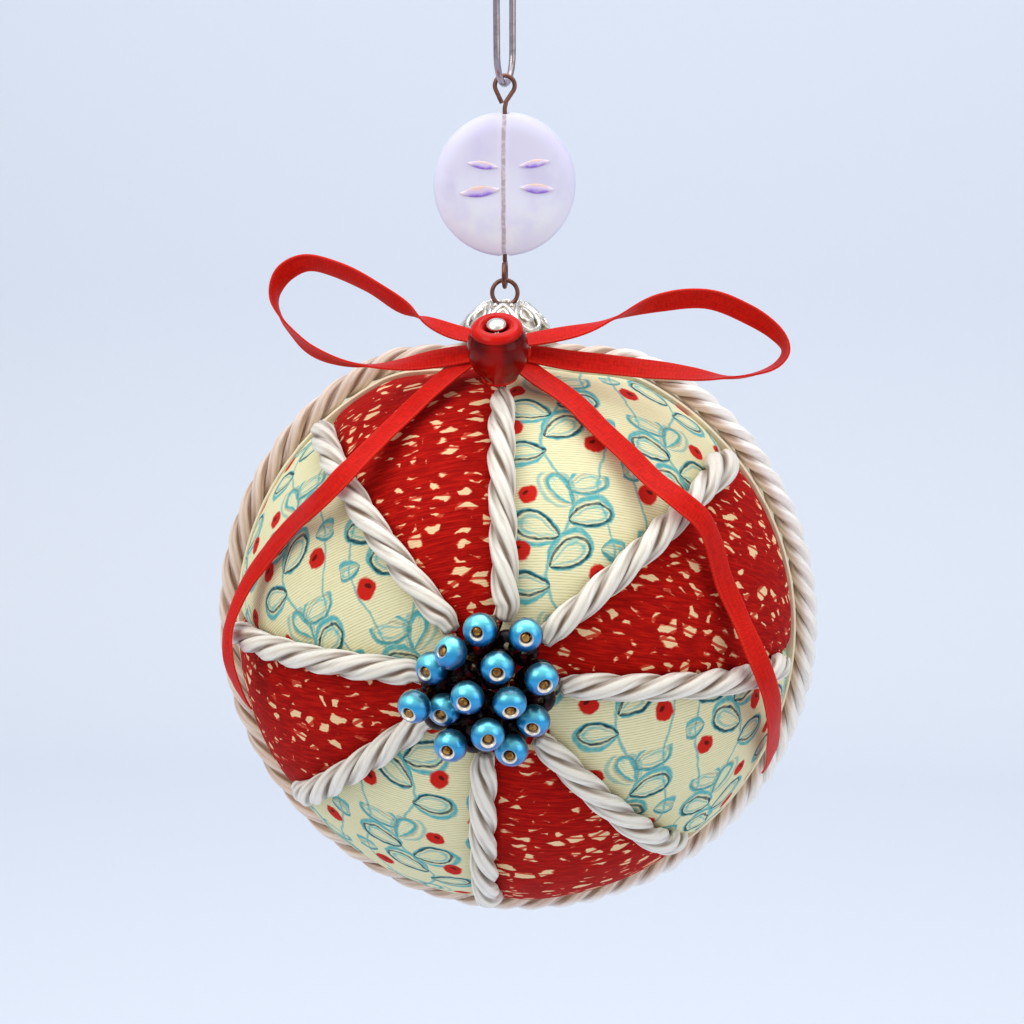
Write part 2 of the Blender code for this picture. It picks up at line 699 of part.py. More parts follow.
def coin_bead():
    # A lens shaped disc whose bore runs up through its thickness.
    front = in_mm(COIN_ROWS)
    profile = front + [(r, -h) for r, h in reversed(front[:-1])]
    facing = Vector((math.sin(math.radians(COIN_TURN)), -math.cos(math.radians(COIN_TURN)), 0.0))
    coin = turned("coin_bead", profile, COIN_STEPS, "lilac", Vector((0, 0, COIN_MID)), facing, line)
    data = bpy.data.meshes.new("coin_bore")
    work = bmesh.new()
    bmesh.ops.create_cone(work, cap_ends=True, segments=TURN_STEPS, radius1=COIN_BORE_R,
                          radius2=COIN_BORE_R, depth=2.4 * COIN_R)
    work.to_mesh(data)
    work.free()
    bore = bpy.data.objects.new("coin_bore", data)
    bore.location = (0, 0, COIN_MID)
    bore.parent = line
    bore.hide_render = True
    bore.display_type = "WIRE"
    joiners.objects.link(bore)
    cut = coin.modifiers.new("Bore", "BOOLEAN")
    cut.operation = "DIFFERENCE"
    cut.solver = "EXACT"
    cut.object = bore


def hook():
    low = arc(0.0, LOW_CROOK_MID, LOW_CROOK_R, 180.0, 360.0, CROOK_STEPS)
    high = arc(0.0, HIGH_CROOK_MID, HIGH_CROOK_R, 180.0, 0.0, CROOK_STEPS)
    shank = []
    for k in range(SHANK_STEPS + 1):
        part = k / SHANK_STEPS
        height = SHANK_FROM + (SHANK_TO - SHANK_FROM) * part
        shank.append((LOW_CROOK_R - (LOW_CROOK_R + HIGH_CROOK_R) * smooth(part), height))
    start = [(-LOW_CROOK_R - FLARE, FREE_END),
             (-LOW_CROOK_R - 0.3 * FLARE, FREE_END - FLARE_LONG)]
    tip = [(HIGH_CROOK_R + 0.3 * FLARE, TIP_END + FLARE_LONG), (HIGH_CROOK_R + FLARE, TIP_END)]
    back = Vector((-math.sin(math.radians(HOOK_TURN)), math.cos(math.radians(HOOK_TURN)), 0.0))
    places = [back * u + Vector((0, 0, v)) for u, v in start + low + shank + high + tip]
    wire("hook", places, HOOK_WIRE, "steel", line)


clear_scene()
parts = new_collection("temari_ball_ornament")
joiners = new_collection("cutters_and_joiners")

# Everything on the hanging line is placed from one empty, all on the ball from another.
line = bpy.data.objects.new("hanging_line", None)
line.location = (0.0, 0.0, -HANG_HEIGHT)
parts.objects.link(line)
ball = bpy.data.objects.new("ball_centre", None)
ball.location = (BALL_X, 0.0, -HANG_HEIGHT)
parts.objects.link(ball)

for place, seam in enumerate(SEAMS):
    following = SEAMS[(place + 1) % len(SEAMS)]
    cloth = PRINTS[place % 2]
    panel("front_panel_%d_%s" % (place + 1, cloth), cloth, seam, following, front=True)
    panel("back_panel_%d_%s" % (place + 1, cloth), cloth, seam, following, front=False)
    seam_cord(seam)
rim_tape()
rim_cord()
bead_cluster()
ribbon_bow()
bow_bead()
bead_cap()
ball_ring()
link_pin()
coin_bead()
hook()
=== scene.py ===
# Looks of a cloth panelled ball ornament with its cords, beads, bow and hook, built around the
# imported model. Lengths in the settings are in millimetres and angles in degrees.

import math

import bpy
from mathutils import Matrix, Vector, noise


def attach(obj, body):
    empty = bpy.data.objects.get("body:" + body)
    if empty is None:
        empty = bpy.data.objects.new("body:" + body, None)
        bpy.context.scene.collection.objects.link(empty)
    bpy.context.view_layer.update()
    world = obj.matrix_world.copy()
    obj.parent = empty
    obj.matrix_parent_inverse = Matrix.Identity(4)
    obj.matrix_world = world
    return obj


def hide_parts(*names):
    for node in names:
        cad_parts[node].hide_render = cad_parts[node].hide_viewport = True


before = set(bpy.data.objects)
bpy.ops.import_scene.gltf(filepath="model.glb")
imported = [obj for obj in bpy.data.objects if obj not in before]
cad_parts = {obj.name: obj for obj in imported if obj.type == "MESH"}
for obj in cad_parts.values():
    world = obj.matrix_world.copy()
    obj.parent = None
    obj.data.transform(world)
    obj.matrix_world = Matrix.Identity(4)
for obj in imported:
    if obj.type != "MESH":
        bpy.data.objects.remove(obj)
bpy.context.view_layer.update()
mm = 0.001

ball = {
    "middle": Vector((1.4, 0.0, -108.575)) * mm,
    "radius": 35.0,
    "seamMeet": 9.0,             # inside this distance from the pole the seams bend in to meet
    "capDip": 2.0,               # the rim is pressed in under the cap
    "capDipFlat": 10.0,
    "capDipEnd": 28.0,
    "seams": (
        # name, angle from the top, sideways shift, polar angle where its cord stops
        ("top", 355.3, 2.3, 60.4),
        ("upper_right", 50.4, -0.6, 72.0),
        ("right", 95.5, -1.0, 72.0),
        ("lower_right", 139.8, -0.2, 72.0),
        ("bottom", 182.6, 0.6, 74.0),
        ("lower_left", 230.2, 1.8, 71.5),
        ("left", 269.6, 1.5, 67.0),
        ("upper_left", 316.0, 1.4, 74.0),
    ),
}


def smooth(x):
    x = min(1.0, max(0.0, x))
    return x * x * (3.0 - 2.0 * x)


def onBall(polar, angle, radius):
    return ball["middle"] + mm * radius * Vector((
        math.sin(polar) * math.sin(angle), -math.cos(polar), math.sin(polar) * math.cos(angle)))


def capDip(angle):
    away = abs((math.degrees(angle) + 180.0) % 360.0 - 180.0)
    return ball["capDip"] * smooth((ball["capDipEnd"] - away) / (ball["capDipEnd"] - ball["capDipFlat"]))


def seamAngle(seam, rho):        # rho is the distance from the ball's front to back axis
    name, angle, aside, cordEnd = seam
    bend = min(1.0, (rho / ball["seamMeet"]) ** 2)
    return math.radians(angle) + math.asin(aside * bend / rho)


def between(rows, x):            # straight lines through rows of x and value
    for (low, first), (high, last) in zip(rows, rows[1:]):
        if x < high:
            return first + (last - first) * max(0.0, (x - low) / (high - low))
    return rows[-1][1]


def seamSpan(place, rho):        # the angles of a panel's two seams there, the second past the first
    seams = ball["seams"]
    first, last = seamAngle(seams[place], rho), seamAngle(seams[(place + 1) % len(seams)], rho)
    return first, last + 2 * math.pi if last < first else last


def throughRows(rows, perGap):   # a smooth line through rows of numbers
    dense = []
    for k in range(len(rows) - 1):
        a, b, c, d = (rows[max(0, k - 1)], rows[k], rows[k + 1], rows[min(len(rows) - 1, k + 2)])
        for step in range(perGap):
            t = step / perGap
            dense.append(tuple(
                0.5 * (2 * q + (r - p) * t + (2 * p - 5 * q + 4 * r - s) * t ** 2
                       + (3 * q - p - 3 * r + s) * t ** 3)
                for p, q, r, s in zip(a, b, c, d)))
    dense.append(rows[-1])
    return dense


# Camera, at the photograph's angle
camera = {"azimuth": 4.5, "elevation": 10.0, "distance": 350.0, "aside": 0.51, "above": 13.8,
          "lens": 97.2}


def addCamera():
    turn, tilt = math.radians(camera["azimuth"]), math.radians(camera["elevation"])
    toBack = Vector((math.sin(turn) * math.cos(tilt), -math.cos(turn) * math.cos(tilt), math.sin(tilt)))
    toRight = Vector((math.cos(turn), math.sin(turn), 0.0))
    upward = toBack.cross(toRight)
    eye = ball["middle"] + mm * (camera["distance"] * toBack - camera["aside"] * toRight
                                 + camera["above"] * upward)
    bpy.ops.object.camera_add(location=eye, rotation=(math.pi / 2 - tilt, 0.0, turn))
    bpy.context.object.data.lens = camera["lens"]
    bpy.context.object.data.clip_start = 0.01
    bpy.context.scene.camera = bpy.context.object


addCamera()
print("camera set")


# Shading: a Wire is a socket that adds its own Math nodes, a Look is one material
def tint(code):                  # "#rrggbb" as the linear colour a socket takes
    parts = [int(code[k:k + 2], 16) / 255 for k in (1, 3, 5)]
    return tuple(c / 12.92 if c <= 0.04045 else ((c + 0.055) / 1.055) ** 2.4 for c in parts) + (1.0,)


class Wire:
    def __init__(self, look, socket):
        self.look = look
        self.socket = socket

    def maths(self, operation, *others):
        return self.look.node("Math", {"operation": operation}, dict(enumerate((self,) + others)))

    def __add__(self, other):
        return self.maths("ADD", other)

    def __mul__(self, other):
        return self.maths("MULTIPLY", other)

    def __sub__(self, other):
        return self.maths("SUBTRACT", other)

    def __rsub__(self, other):
        return self.look.node("Math", {"operation": "SUBTRACT"}, {0: other, 1: self})

    def __truediv__(self, other):
        return self.maths("DIVIDE", other)

    def __pow__(self, other):
        return self.maths("POWER", other)

    def __abs__(self):
        return self.maths("ABSOLUTE")

    __radd__ = __add__
    __rmul__ = __mul__

    def over(self, colour, share):       # this colour with a share of another laid over it
        return self.look.mix(self, colour, share)

    def most(self, other):
        return self.maths("MAXIMUM", other)

    def least(self, other):
        return self.maths("MINIMUM", other)


class Look:
    def __init__(self, name, **constants):
        self.material = bpy.data.materials.new(name)
        self.material.use_nodes = True
        self.tree = self.material.node_tree
        self.shader = self.tree.nodes["Principled BSDF"]
        for key, value in constants.items():
            self.feed(key.replace("_", " "), value)

    def put(self, socket, value):
        if isinstance(value, Wire):
            self.tree.links.new(value.socket, socket)
        else:
            socket.default_value = tint(value) if isinstance(value, str) else value

    def feed(self, name, value):
        self.put(self.shader.inputs[name], value)

    def node(self, kind, settings=None, values=None, output=0):
        item = self.tree.nodes.new("ShaderNode" + kind)
        for key, value in (settings or {}).items():
            setattr(item, key, value)
        for key, value in (values or {}).items():
            self.put(item.inputs[key], value)
        if isinstance(output, tuple):
            return [Wire(self, item.outputs[k]) for k in output]
        return Wire(self, item.outputs[output])

    def step(self, value, low, high):
        return self.node("MapRange", {"interpolation_type": "SMOOTHSTEP"}, {0: value, 1: low, 2: high})

    def mix(self, first, second, share, blend="MIX"):
        return self.node("Mix", {"data_type": "RGBA", "blend_type": blend},
                         {0: share, 6: first, 7: second}, output=2)

    def place(self, vector, scale):
        return self.node("Mapping", {}, {"Vector": vector, "Scale": scale})

    def grain(self, vector, scale, detail=2.0, rough=0.5):
        return self.node("TexNoise", {}, {"Vector": vector, "Scale": scale, "Detail": detail,
                                          "Roughness": rough})

    def length(self, vector):
        return self.node("VectorMath", {"operation": "LENGTH"}, {0: vector}, output=1)

    def parts(self, vector):
        return self.node("SeparateXYZ", {}, {0: vector}, output=(0, 1, 2))

    def flatSpot(self, x, y):
        return self.node("CombineXYZ", {}, {0: x, 1: y})

    def shapeOwn(self, vector, spot, turn, size):    # the vector in a drawn shape's own coordinates
        return self.node("Mapping", {"vector_type": "TEXTURE"},
                         {"Vector": vector, "Location": (*spot, 0.0), "Rotation": (0.0, 0.0, turn),
                          "Scale": (*size, 1.0)})

    def ownMap(self):
        return self.node("UVMap", {"uv_map": "cloth"})

    def onObject(self):
        return self.node("TexCoord", output=3)

    def painted(self, name):
        return self.node("Attribute", {"attribute_name": name}, output=2)

    def bump(self, height, strength, depth):
        self.feed("Normal", self.node("Bump", {}, {"Height": height, "Strength": strength,
                                                   "Distance": depth * mm}))

    def done(self, colour, rough=None):
        self.feed("Base Color", colour)
        if rough:
            self.feed("Roughness", rough)
        return self.material


# Cloth: both prints are drawn in millimetres on the cloth's own map
clothWeave = {"rib": 0.33, "ribDepth": 0.035, "relief": 0.7}
sprig = {
    "repeat": (15.0, 17.0), "stagger": 0.37, "drift": 0.9,
    "stems": (
        # middle, sway, phase, half width
        (-0.5, 1.6, 0.0, 0.19),
        (5.2, 0.9, 2.2, 0.14),
    ),
    "leaves": (
        # base x, base y, direction, length, slimness, teal loop's offset
        (-1.6, -5.6, 176.0, 5.0, 2.1, 0.34),
        (-1.7, -3.3, 34.0, 5.5, 2.0, 0.42),
        (-0.5, 0.4, 159.0, 5.6, 1.9, 0.40),
        (0.6, 2.3, 18.0, 5.2, 2.0, 0.36),
        (1.1, 4.2, 124.0, 4.8, 2.0, -0.34),
        (0.4, 6.5, 16.0, 4.9, 2.2, 0.38),
        (4.6, -0.9, 352.0, 2.9, 1.9, 0.26),
    ),
    "berries": (
        # x, y, radius
        (-5.2, -1.4, 1.30),
        (4.4, -3.9, 1.36),
        (-4.1, 5.6, 1.22),
    ),
    "pip": ((-0.18, 0.22), 0.5, (0.34, 0.2)),    # place, turn and size in the berry
    "inkedFrom": 4.95,           # leaves longer than this have a full dark line, others this share
    "faint": 0.35,
    "ink": 0.17,                 # half width of the dark line
    "wash": 0.27,                # half width of the teal line
    # ribShade is painted shade on the ribs' low sides; gap is the painted shade between the ribs
    "cream": "#ECE8C2", "ribShade": "#D2CB98", "inkColour": "#163C4A", "teal": "#22AAB6",
    "palest": "#66CCC8", "berry": "#CC2016", "eye": "#2A0E0A", "stain": "#E2D6A4", "gap": "#B9AE86",
}
scribble = {
    "cell": (0.38, 0.66),        # cells a millimetre, across and along the cloth
    "strokes": ((9.0, 1.7, 0.93), (-27.0, 2.6, 0.95)),    # turn, pitch, how narrow
    "red": "#9C0B06", "bright": "#BC160D", "dark": "#6C0503", "edge": "#D85A42", "chip": "#EFCFA2",
    # gap is the painted shade between the ribs
    "gap": "#8A5A4A",
}


def wovenRibs(look, flat, y):
    # Fine ribs across the cloth, 0 in their shade and 1 on their tops, with uneven threads.
    waver = look.grain(look.place(flat, (0.12, 0.9, 1.0)), 1.0)
    wave = ((y / clothWeave["rib"] + waver * 1.1) * (2 * math.pi)).maths("SINE") * 0.5 + 0.5
    slub = look.grain(look.place(flat, (1.1, 5.0, 1.0)), 1.0, 3.0)
    return wave * 0.75 + slub * 0.5, slub


def finishCloth(look, tone, ribs, slub, gap, share):     # painted shade between the ribs, and their relief
    look.bump(ribs + slub * 0.4, clothWeave["relief"], clothWeave["ribDepth"])
    return look.done(look.mix(tone, gap, (1.0 - look.step(ribs, 0.0, 0.5)) * share, "MULTIPLY"))


def creamPrint():
    look = Look("creamCotton", Roughness=0.85, Specular_IOR_Level=0.15)
    wide, tall = sprig["repeat"]
    u, v = look.parts(look.ownMap())[:2]
    flat = look.flatSpot(u, v)
    wobble, shift = look.grain(flat, 0.55, 3.0), look.grain(flat, 0.42, 2.0)
    bleed, stain = look.grain(flat, 1.4, 3.0), look.grain(flat, 0.16, 3.0)
    across = u + (wobble - 0.5) * sprig["drift"]
    column = (across / wide + 0.5).maths("FLOOR")
    along = v + (shift - 0.5) * sprig["drift"] + column * (tall * sprig["stagger"])
    x = across.maths("WRAP", wide / 2, -wide / 2) * (1.0 - column.maths("PINGPONG", 1.0) * 2.0)
    y = along.maths("WRAP", tall / 2, -tall / 2)
    spot = look.flatSpot(x, y)
    layers = {}

    def draw(layer, shape):      # a layer keeps the strongest of its shapes
        layers[layer] = layers[layer].most(shape) if layer in layers else shape

    for middle, sway, phase, half in sprig["stems"]:
        bend = (y * (2 * math.pi / tall) + phase).maths("SINE") * sway + middle
        draw("teal", look.step(abs(x - bend), half + 0.16, half - 0.12) * 0.75)
    for baseX, baseY, turn, length, slim, offset in sprig["leaves"]:
        local = look.shapeOwn(spot, (baseX, baseY), math.radians(turn), (length, length))
        s, t = look.parts(local)[:2]
        reach = look.length(local) + 0.0001
        swing = (abs(t.maths("ARCTAN2", s)) * slim).least(math.pi)
        slope = swing.maths("SINE") * slim / reach
        away = (reach - swing.maths("COSINE")) / (slope * slope + 1.0) ** 0.5 * length
        drawn = 1.0 if length > sprig["inkedFrom"] else sprig["faint"]
        draw("ink", look.step(abs(away + t * 0.3), sprig["ink"] + 0.09, sprig["ink"] - 0.08) * drawn)
        loop = abs(away - t * (2.2 * offset) - offset)
        draw("teal", look.step(loop, sprig["wash"] + 0.16, sprig["wash"] - 0.14) * 0.9)
        loop = abs(away + t * (1.3 * offset) + offset * 1.7)
        draw("teal", look.step(loop, sprig["wash"] + 0.1, sprig["wash"] - 0.2) * 0.55)
        streak = look.grain(look.place(local, (1.6, 16.0, 1.0)), 1.0)
        draw("hatch", look.step(away, 0.0, -0.3) * look.step(streak + t * 0.5, 0.5, 0.66))
    for centreX, centreY, radius in sprig["berries"]:
        local = look.shapeOwn(spot, (centreX, centreY), 0.0, (radius, radius))
        draw("berry", look.step(look.length(local) + (bleed - 0.5) * 0.3, 1.08, 0.84))
        draw("eye", look.step(look.length(look.shapeOwn(local, *sprig["pip"])), 1.3, 0.7))
    ribs, slub = wovenRibs(look, flat, v)
    # painted shade: ribShade on the ribs' low sides, cream on their tops
    tone = look.mix(sprig["ribShade"], sprig["cream"], look.step(ribs, 0.05, 0.75))
    tone = tone.over(sprig["stain"], look.step(stain, 0.5, 0.8) * 0.4)
    tone = tone.over(sprig["palest"], layers["hatch"] * 0.6 * (bleed + 0.4).least(1.0))
    tone = tone.over(sprig["teal"], layers["teal"] * (bleed * 0.8 + 0.55).least(1.0))
    tone = tone.over(sprig["inkColour"], layers["ink"] * (bleed * 0.8 + 0.45).least(1.0))
    tone = tone.over(sprig["berry"], layers["berry"])
    tone = tone.over(sprig["eye"], layers["eye"] * 0.85)
    return finishCloth(look, tone, ribs, slub, sprig["gap"], 0.28)


def redPrint():
    look = Look("redCotton", Roughness=0.85, Specular_IOR_Level=0.08)
    u, v = look.parts(look.ownMap())[:2]
    flat = look.flatSpot(u, v)
    pullX, pullY = look.grain(flat, 0.45, 2.0), look.grain(look.place(flat, (-1.0, 1.0, 1.0)), 0.5, 2.0)
    wide, tall = scribble["cell"]
    cell = look.flatSpot((u + pullX * 2.0) * wide, (v + u * 0.08 + pullY * 1.3) * tall)
    cells = {"Vector": cell, "Scale": 1.0, "Randomness": 1.0}
    toEdge = look.node("TexVoronoi", {"feature": "DISTANCE_TO_EDGE"}, cells)
    ownColour = look.node("TexVoronoi", {"feature": "F1"}, cells, output=1)
    chance = look.node("SeparateColor", {}, {0: ownColour})
    need = 0.13 + chance * 0.2 - look.grain(flat, 0.11, 1.0) * 0.05
    frayed = look.grain(look.place(flat, (1.2, 4.5, 1.0)), 1.0, 2.0)
    chip = look.step(toEdge - need + (frayed - 0.5) * 0.14, -0.01, 0.1)
    strokes = []
    for turn, pitch, sharp in scribble["strokes"]:
        lines = look.node("Mapping", {}, {"Vector": flat, "Rotation": (0.0, 0.0, math.radians(turn))})
        band = look.node("TexWave", {"bands_direction": "Y"},
                         {"Vector": lines, "Scale": 0.314 / pitch, "Distortion": 3.2, "Detail": 2.0,
                          "Detail Scale": 0.7}, output=1)
        strokes.append(look.step(band, sharp - 0.07, sharp + 0.03))
    chip = chip * (1.0 - strokes[0].most(strokes[1]) * 0.7)
    streak = look.grain(look.place(flat, (0.35, 2.6, 1.0)), 1.0, 3.0, 0.6)
    tone = look.mix(scribble["red"], scribble["bright"], look.step(streak, 0.42, 0.66))
    tone = tone.over(scribble["dark"], look.step(streak, 0.42, 0.28) * 0.45)
    tone = tone.over(scribble["edge"], look.step(chip, 0.05, 0.5))
    tone = tone.over(scribble["chip"], look.step(chip, 0.45, 0.95))
    return finishCloth(look, tone, *wovenRibs(look, flat, v), scribble["gap"], 0.3)


def tapeWeave():
    look = Look("creamTape", Roughness=0.8, Sheen_Weight=0.2)
    y = look.parts(look.onObject())[1]
    cross = (y * (2 * math.pi / (0.5 * mm))).maths("SINE") * 0.5 + 0.5
    slub = look.grain(look.onObject(), 900.0, 3.0)
    look.bump(cross + slub, 0.6, 0.05)
    # darker in the grooves between the weave's ribs: painted shade, with uneven threads
    return look.done(look.mix("#C9B48C", "#F1E6C8", (cross * 0.5 + slub * 0.6).least(1.0)))


looks = {"cream": creamPrint(), "red": redPrint(), "tape": tapeWeave()}
print("cloth looks made")


def mapCloth(data, marks):       # the cloth's own map, one (u, v) a point
    layer = data.uv_layers.new(name="cloth")
    for corner in data.loops:
        layer.data[corner.index].uv = marks[corner.vertex_index]


def meshPiece(name, points, faces, material, marks=None):
    data = bpy.data.meshes.new(name)
    data.from_pydata([tuple(p) for p in points], [], faces)
    if marks:
        mapCloth(data, marks)
    piece = bpy.data.objects.new(name, data)
    bpy.context.scene.collection.objects.link(piece)
    data.materials.append(material)
    startEdit(piece)
    bpy.ops.mesh.normals_make_consistent(inside=False)
    bpy.ops.object.mode_set(mode="OBJECT")
    return piece


def paint(piece, name, values):  # one number a point, for the materials to read
    layer = piece.data.attributes.new(name, "FLOAT", "POINT")
    layer.data.foreach_set("value", values)


def onlySelect(*pieces):
    bpy.ops.object.select_all(action="DESELECT")
    for piece in pieces:
        piece.select_set(True)
    bpy.context.view_layer.objects.active = pieces[0]


def smoothBelow(angle):          # the selected pieces, but for edges sharper than the angle
    bpy.ops.object.shade_smooth_by_angle(angle=math.radians(angle))


def startEdit(piece):            # in edit mode with all of it selected
    onlySelect(piece)
    bpy.ops.object.mode_set(mode="EDIT")
    bpy.ops.mesh.select_all(action="SELECT")


def ballForm(segments, radius, rings=None):
    bpy.ops.mesh.primitive_uv_sphere_add(segments=segments, ring_count=rings or segments // 2,
                                         radius=radius * mm)
    return bpy.context.object


def pinForm(head, shank, material):
    # A domed head and the shank under it. The settings that it takes are listed beside the beads.
    headR, flat, aside, headUp, around = head
    shankR, long, shankUp, sides = shank
    pin = ballForm(around, headR)
    bpy.ops.object.mode_set(mode="EDIT")
    bpy.ops.transform.resize(value=(1.0, 1.0, flat))
    bpy.ops.transform.translate(value=(aside * mm, 0.0, headUp * mm))
    bpy.ops.mesh.primitive_cylinder_add(vertices=sides, radius=shankR * mm, depth=long * mm,
                                        location=(0.0, 0.0, shankUp * mm))
    bpy.ops.object.mode_set(mode="OBJECT")
    pin.data.materials.append(material)
    bpy.ops.object.shade_smooth()
    return pin


def finishPiece(piece, name, node, body="ornament"):
    piece.name = name
    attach(piece, body)
    if node:
        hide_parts(node)


def tubeFaces(rings, around, closed=False):      # quads between rings of points that follow each other
    faces = []
    for ring in range(rings if closed else rings - 1):
        here, there = ring * around, (ring + 1) % rings * around
        for k in range(around):
            following = (k + 1) % around
            faces.append((here + k, here + following, there + following, there + k))
    return faces


# Cloth panels: crowned wedges drawn in along their seams
panels = {
    "rows": 52, "mids": 7,
    "nearSteps": (0.15, 0.4, 0.7, 1.05, 1.5, 2.1, 2.9, 3.9),    # the first columns' distances from a seam
    "nearShare": 0.8, "firstShare": 0.3, "leastStep": 0.02,      # shares of the wedge's half width
    "front": {"groove": 0.72, "spread": 1.0, "sink": 0.3, "sinkSpread": 3.2, "pucker": 0.05},
    "back": {"groove": 0.8, "spread": 0.85, "sink": 0.35, "sinkSpread": 3.0, "pucker": 0.06},
    "poleR": 0.35, "lastPolar": 83.8, "backing": 0.9, "swell": 0.09, "backShift": (17.0, 9.0),
    "swellGrain": 0.12, "puckerPitch": 1.9, "puckerAt": 1.4, "puckerWide": 1.7,
    "dipFade": (11.0, 8.0), "tuckIn": 0.35, "tuckFade": (5.2, 2.6), "seat": 33.42,
    "tuck": ((34.55, 3.35), (34.2, 2.95), (33.75, 2.72), (33.42, 2.6), (33.42, 0.15)),
    "grain": (
        # turn of the cloth, shift across and along, for each place clockwise from the top seam
        (-6.0, 3.0, -9.0), (4.0, 40.0, 12.0), (8.0, 8.0, 5.5), (12.0, 9.0, 33.0),
        (-4.0, 14.5, -3.0), (-14.0, 61.0, 7.0), (-16.0, 33.0, 16.0), (-6.0, 25.0, 71.0),
    ),
}


def panelColumns(first, last, rho):      # each column's angle and distance from its seam
    half = rho * (last - first) / 2
    near, mids = panels["nearSteps"], panels["mids"]
    squeeze = min(1.0, panels["nearShare"] * half / near[-1])
    left = [min(near[0], panels["firstShare"] * half)]
    for step in near[1:]:
        left.append(max(left[0], step * squeeze, left[-1] + panels["leastStep"] * half))
    left += [left[-1] + (half - left[-1]) * (k + 1) / mids for k in range(mids)]
    return [(first + d / rho, d) for d in left] + [(last - d / rho, d) for d in reversed(left[:-1])]


def clothMarker(place, front, sign):     # tells the cloth's own (u, v) for a way out from the middle
    turn, shiftU, shiftV = panels["grain"][place]
    if not front:
        turn, shiftU, shiftV = -turn, shiftU + panels["backShift"][0], shiftV + panels["backShift"][1]
    midAngle = sum(seamSpan(place, ball["radius"])) / 2
    middle = Vector((math.sin(midAngle), sign, math.cos(midAngle))).normalized()
    alongU = Vector((-sign, 0.0, 0.0))
    alongU = (alongU - alongU.dot(middle) * middle).normalized()
    alongV = alongU.cross(middle) if front else middle.cross(alongU)
    if alongV.z < 0:
        alongV = -alongV
    spin = Matrix.Rotation(math.radians(turn), 2)

    def markOf(facing):
        turnAway = math.acos(max(-1.0, min(1.0, facing.dot(middle))))
        flatPart = facing - facing.dot(middle) * middle
        if flatPart.length > 1e-9:
            flatPart.normalize()
        mark = Vector((flatPart.dot(alongU), flatPart.dot(alongV)))
        mark = spin @ (ball["radius"] * turnAway * mark)
        return mark.x + shiftU, mark.y + shiftV

    return markOf


def clothPanel(place, front):
    cloth, side = ("cream", "red")[place % 2], "front" if front else "back"
    form, radius, sign = panels[side], ball["radius"], -1.0 if front else 1.0
    name = "%s_panel_%d_%s" % (side, place + 1, cloth)
    markOf = clothMarker(place, front, sign)
    firstPolar, lastPolar = math.asin(panels["poleR"] / radius), math.radians(panels["lastPolar"])
    count = panels["rows"]
    polars = [firstPolar + (lastPolar - firstPolar) * k / count for k in range(count + 1)]
    (dipFrom, dipLong), (tuckFrom, tuckLong) = panels["dipFade"], panels["tuckFade"]
    fine = panels["swellGrain"]
    points, marks, rows = [], [], []
    for index in range(len(polars) + len(panels["tuck"])):
        onSphere = index < len(polars)
        rho = radius * math.sin(polars[index]) if onSphere else radius
        first, last = seamSpan(place, rho if front else radius)
        row = []
        for angle, distance in panelColumns(first, last, rho):
            drop = form["groove"] * math.exp(-(distance / form["spread"]) ** 2)
            drop += form["sink"] * math.exp(-(distance / form["sinkSpread"]) ** 2)
            if onSphere:
                polar = polars[index]
                fromRim, along = radius * math.cos(polar), radius * polar
                later = 2 * angle > first + last
                crease = noise.noise(Vector((along * 0.5, place * 7.0 + later * 3.0, sign)))
                pucker = math.sin(along * panels["puckerPitch"] + 3.0 * crease + place) * form["pucker"]
                pucker *= math.exp(-((distance - panels["puckerAt"]) / panels["puckerWide"]) ** 2)
                swell = noise.noise(Vector((math.sin(angle) * rho * fine, along * fine, place + sign)))
                dip = capDip(angle) * smooth((dipFrom - fromRim) / dipLong)
                tuck = panels["tuckIn"] * smooth((tuckFrom - fromRim) / tuckLong)
                reach = radius - drop - dip - tuck + pucker + panels["swell"] * swell
                out, height = reach * math.sin(polar), reach * math.cos(polar)
            else:
                seat, height = panels["tuck"][index - len(polars)]
                out = seat - capDip(angle) - 0.5 * drop * max(0.0, (seat - panels["seat"]) / 1.1)
            spot = Vector((out * math.sin(angle), sign * height, out * math.cos(angle)))
            row.append(len(points))
            points.append(ball["middle"] + spot * mm)
            marks.append(markOf(spot.normalized()))
        rows.append(row)
    total, wide = len(points), len(rows[0])
    points += [ball["middle"] + (spot - ball["middle"]) * panels["backing"] for spot in points]
    marks += marks
    faces = []
    for upper, lower in zip(rows, rows[1:]):
        for k in range(wide - 1):
            faces.append((upper[k], upper[k + 1], lower[k + 1], lower[k]))
            faces.append(tuple(total + n for n in (upper[k], lower[k], lower[k + 1], upper[k + 1])))
        for k in (0, wide - 1):
            faces.append((upper[k], lower[k], total + lower[k], total + upper[k]))
    for row in (rows[0], rows[-1]):
        for k in range(wide - 1):
            faces.append((row[k], row[k + 1], total + row[k + 1], total + row[k]))
    piece = meshPiece(name.title().replace("_", ""), points, faces, looks[cloth], marks)
    smoothBelow(50.0)
    finishPiece(piece, piece.name, name)


for place in range(len(ball["seams"])):
    clothPanel(place, True)
    clothPanel(place, False)
print("panels sewn")


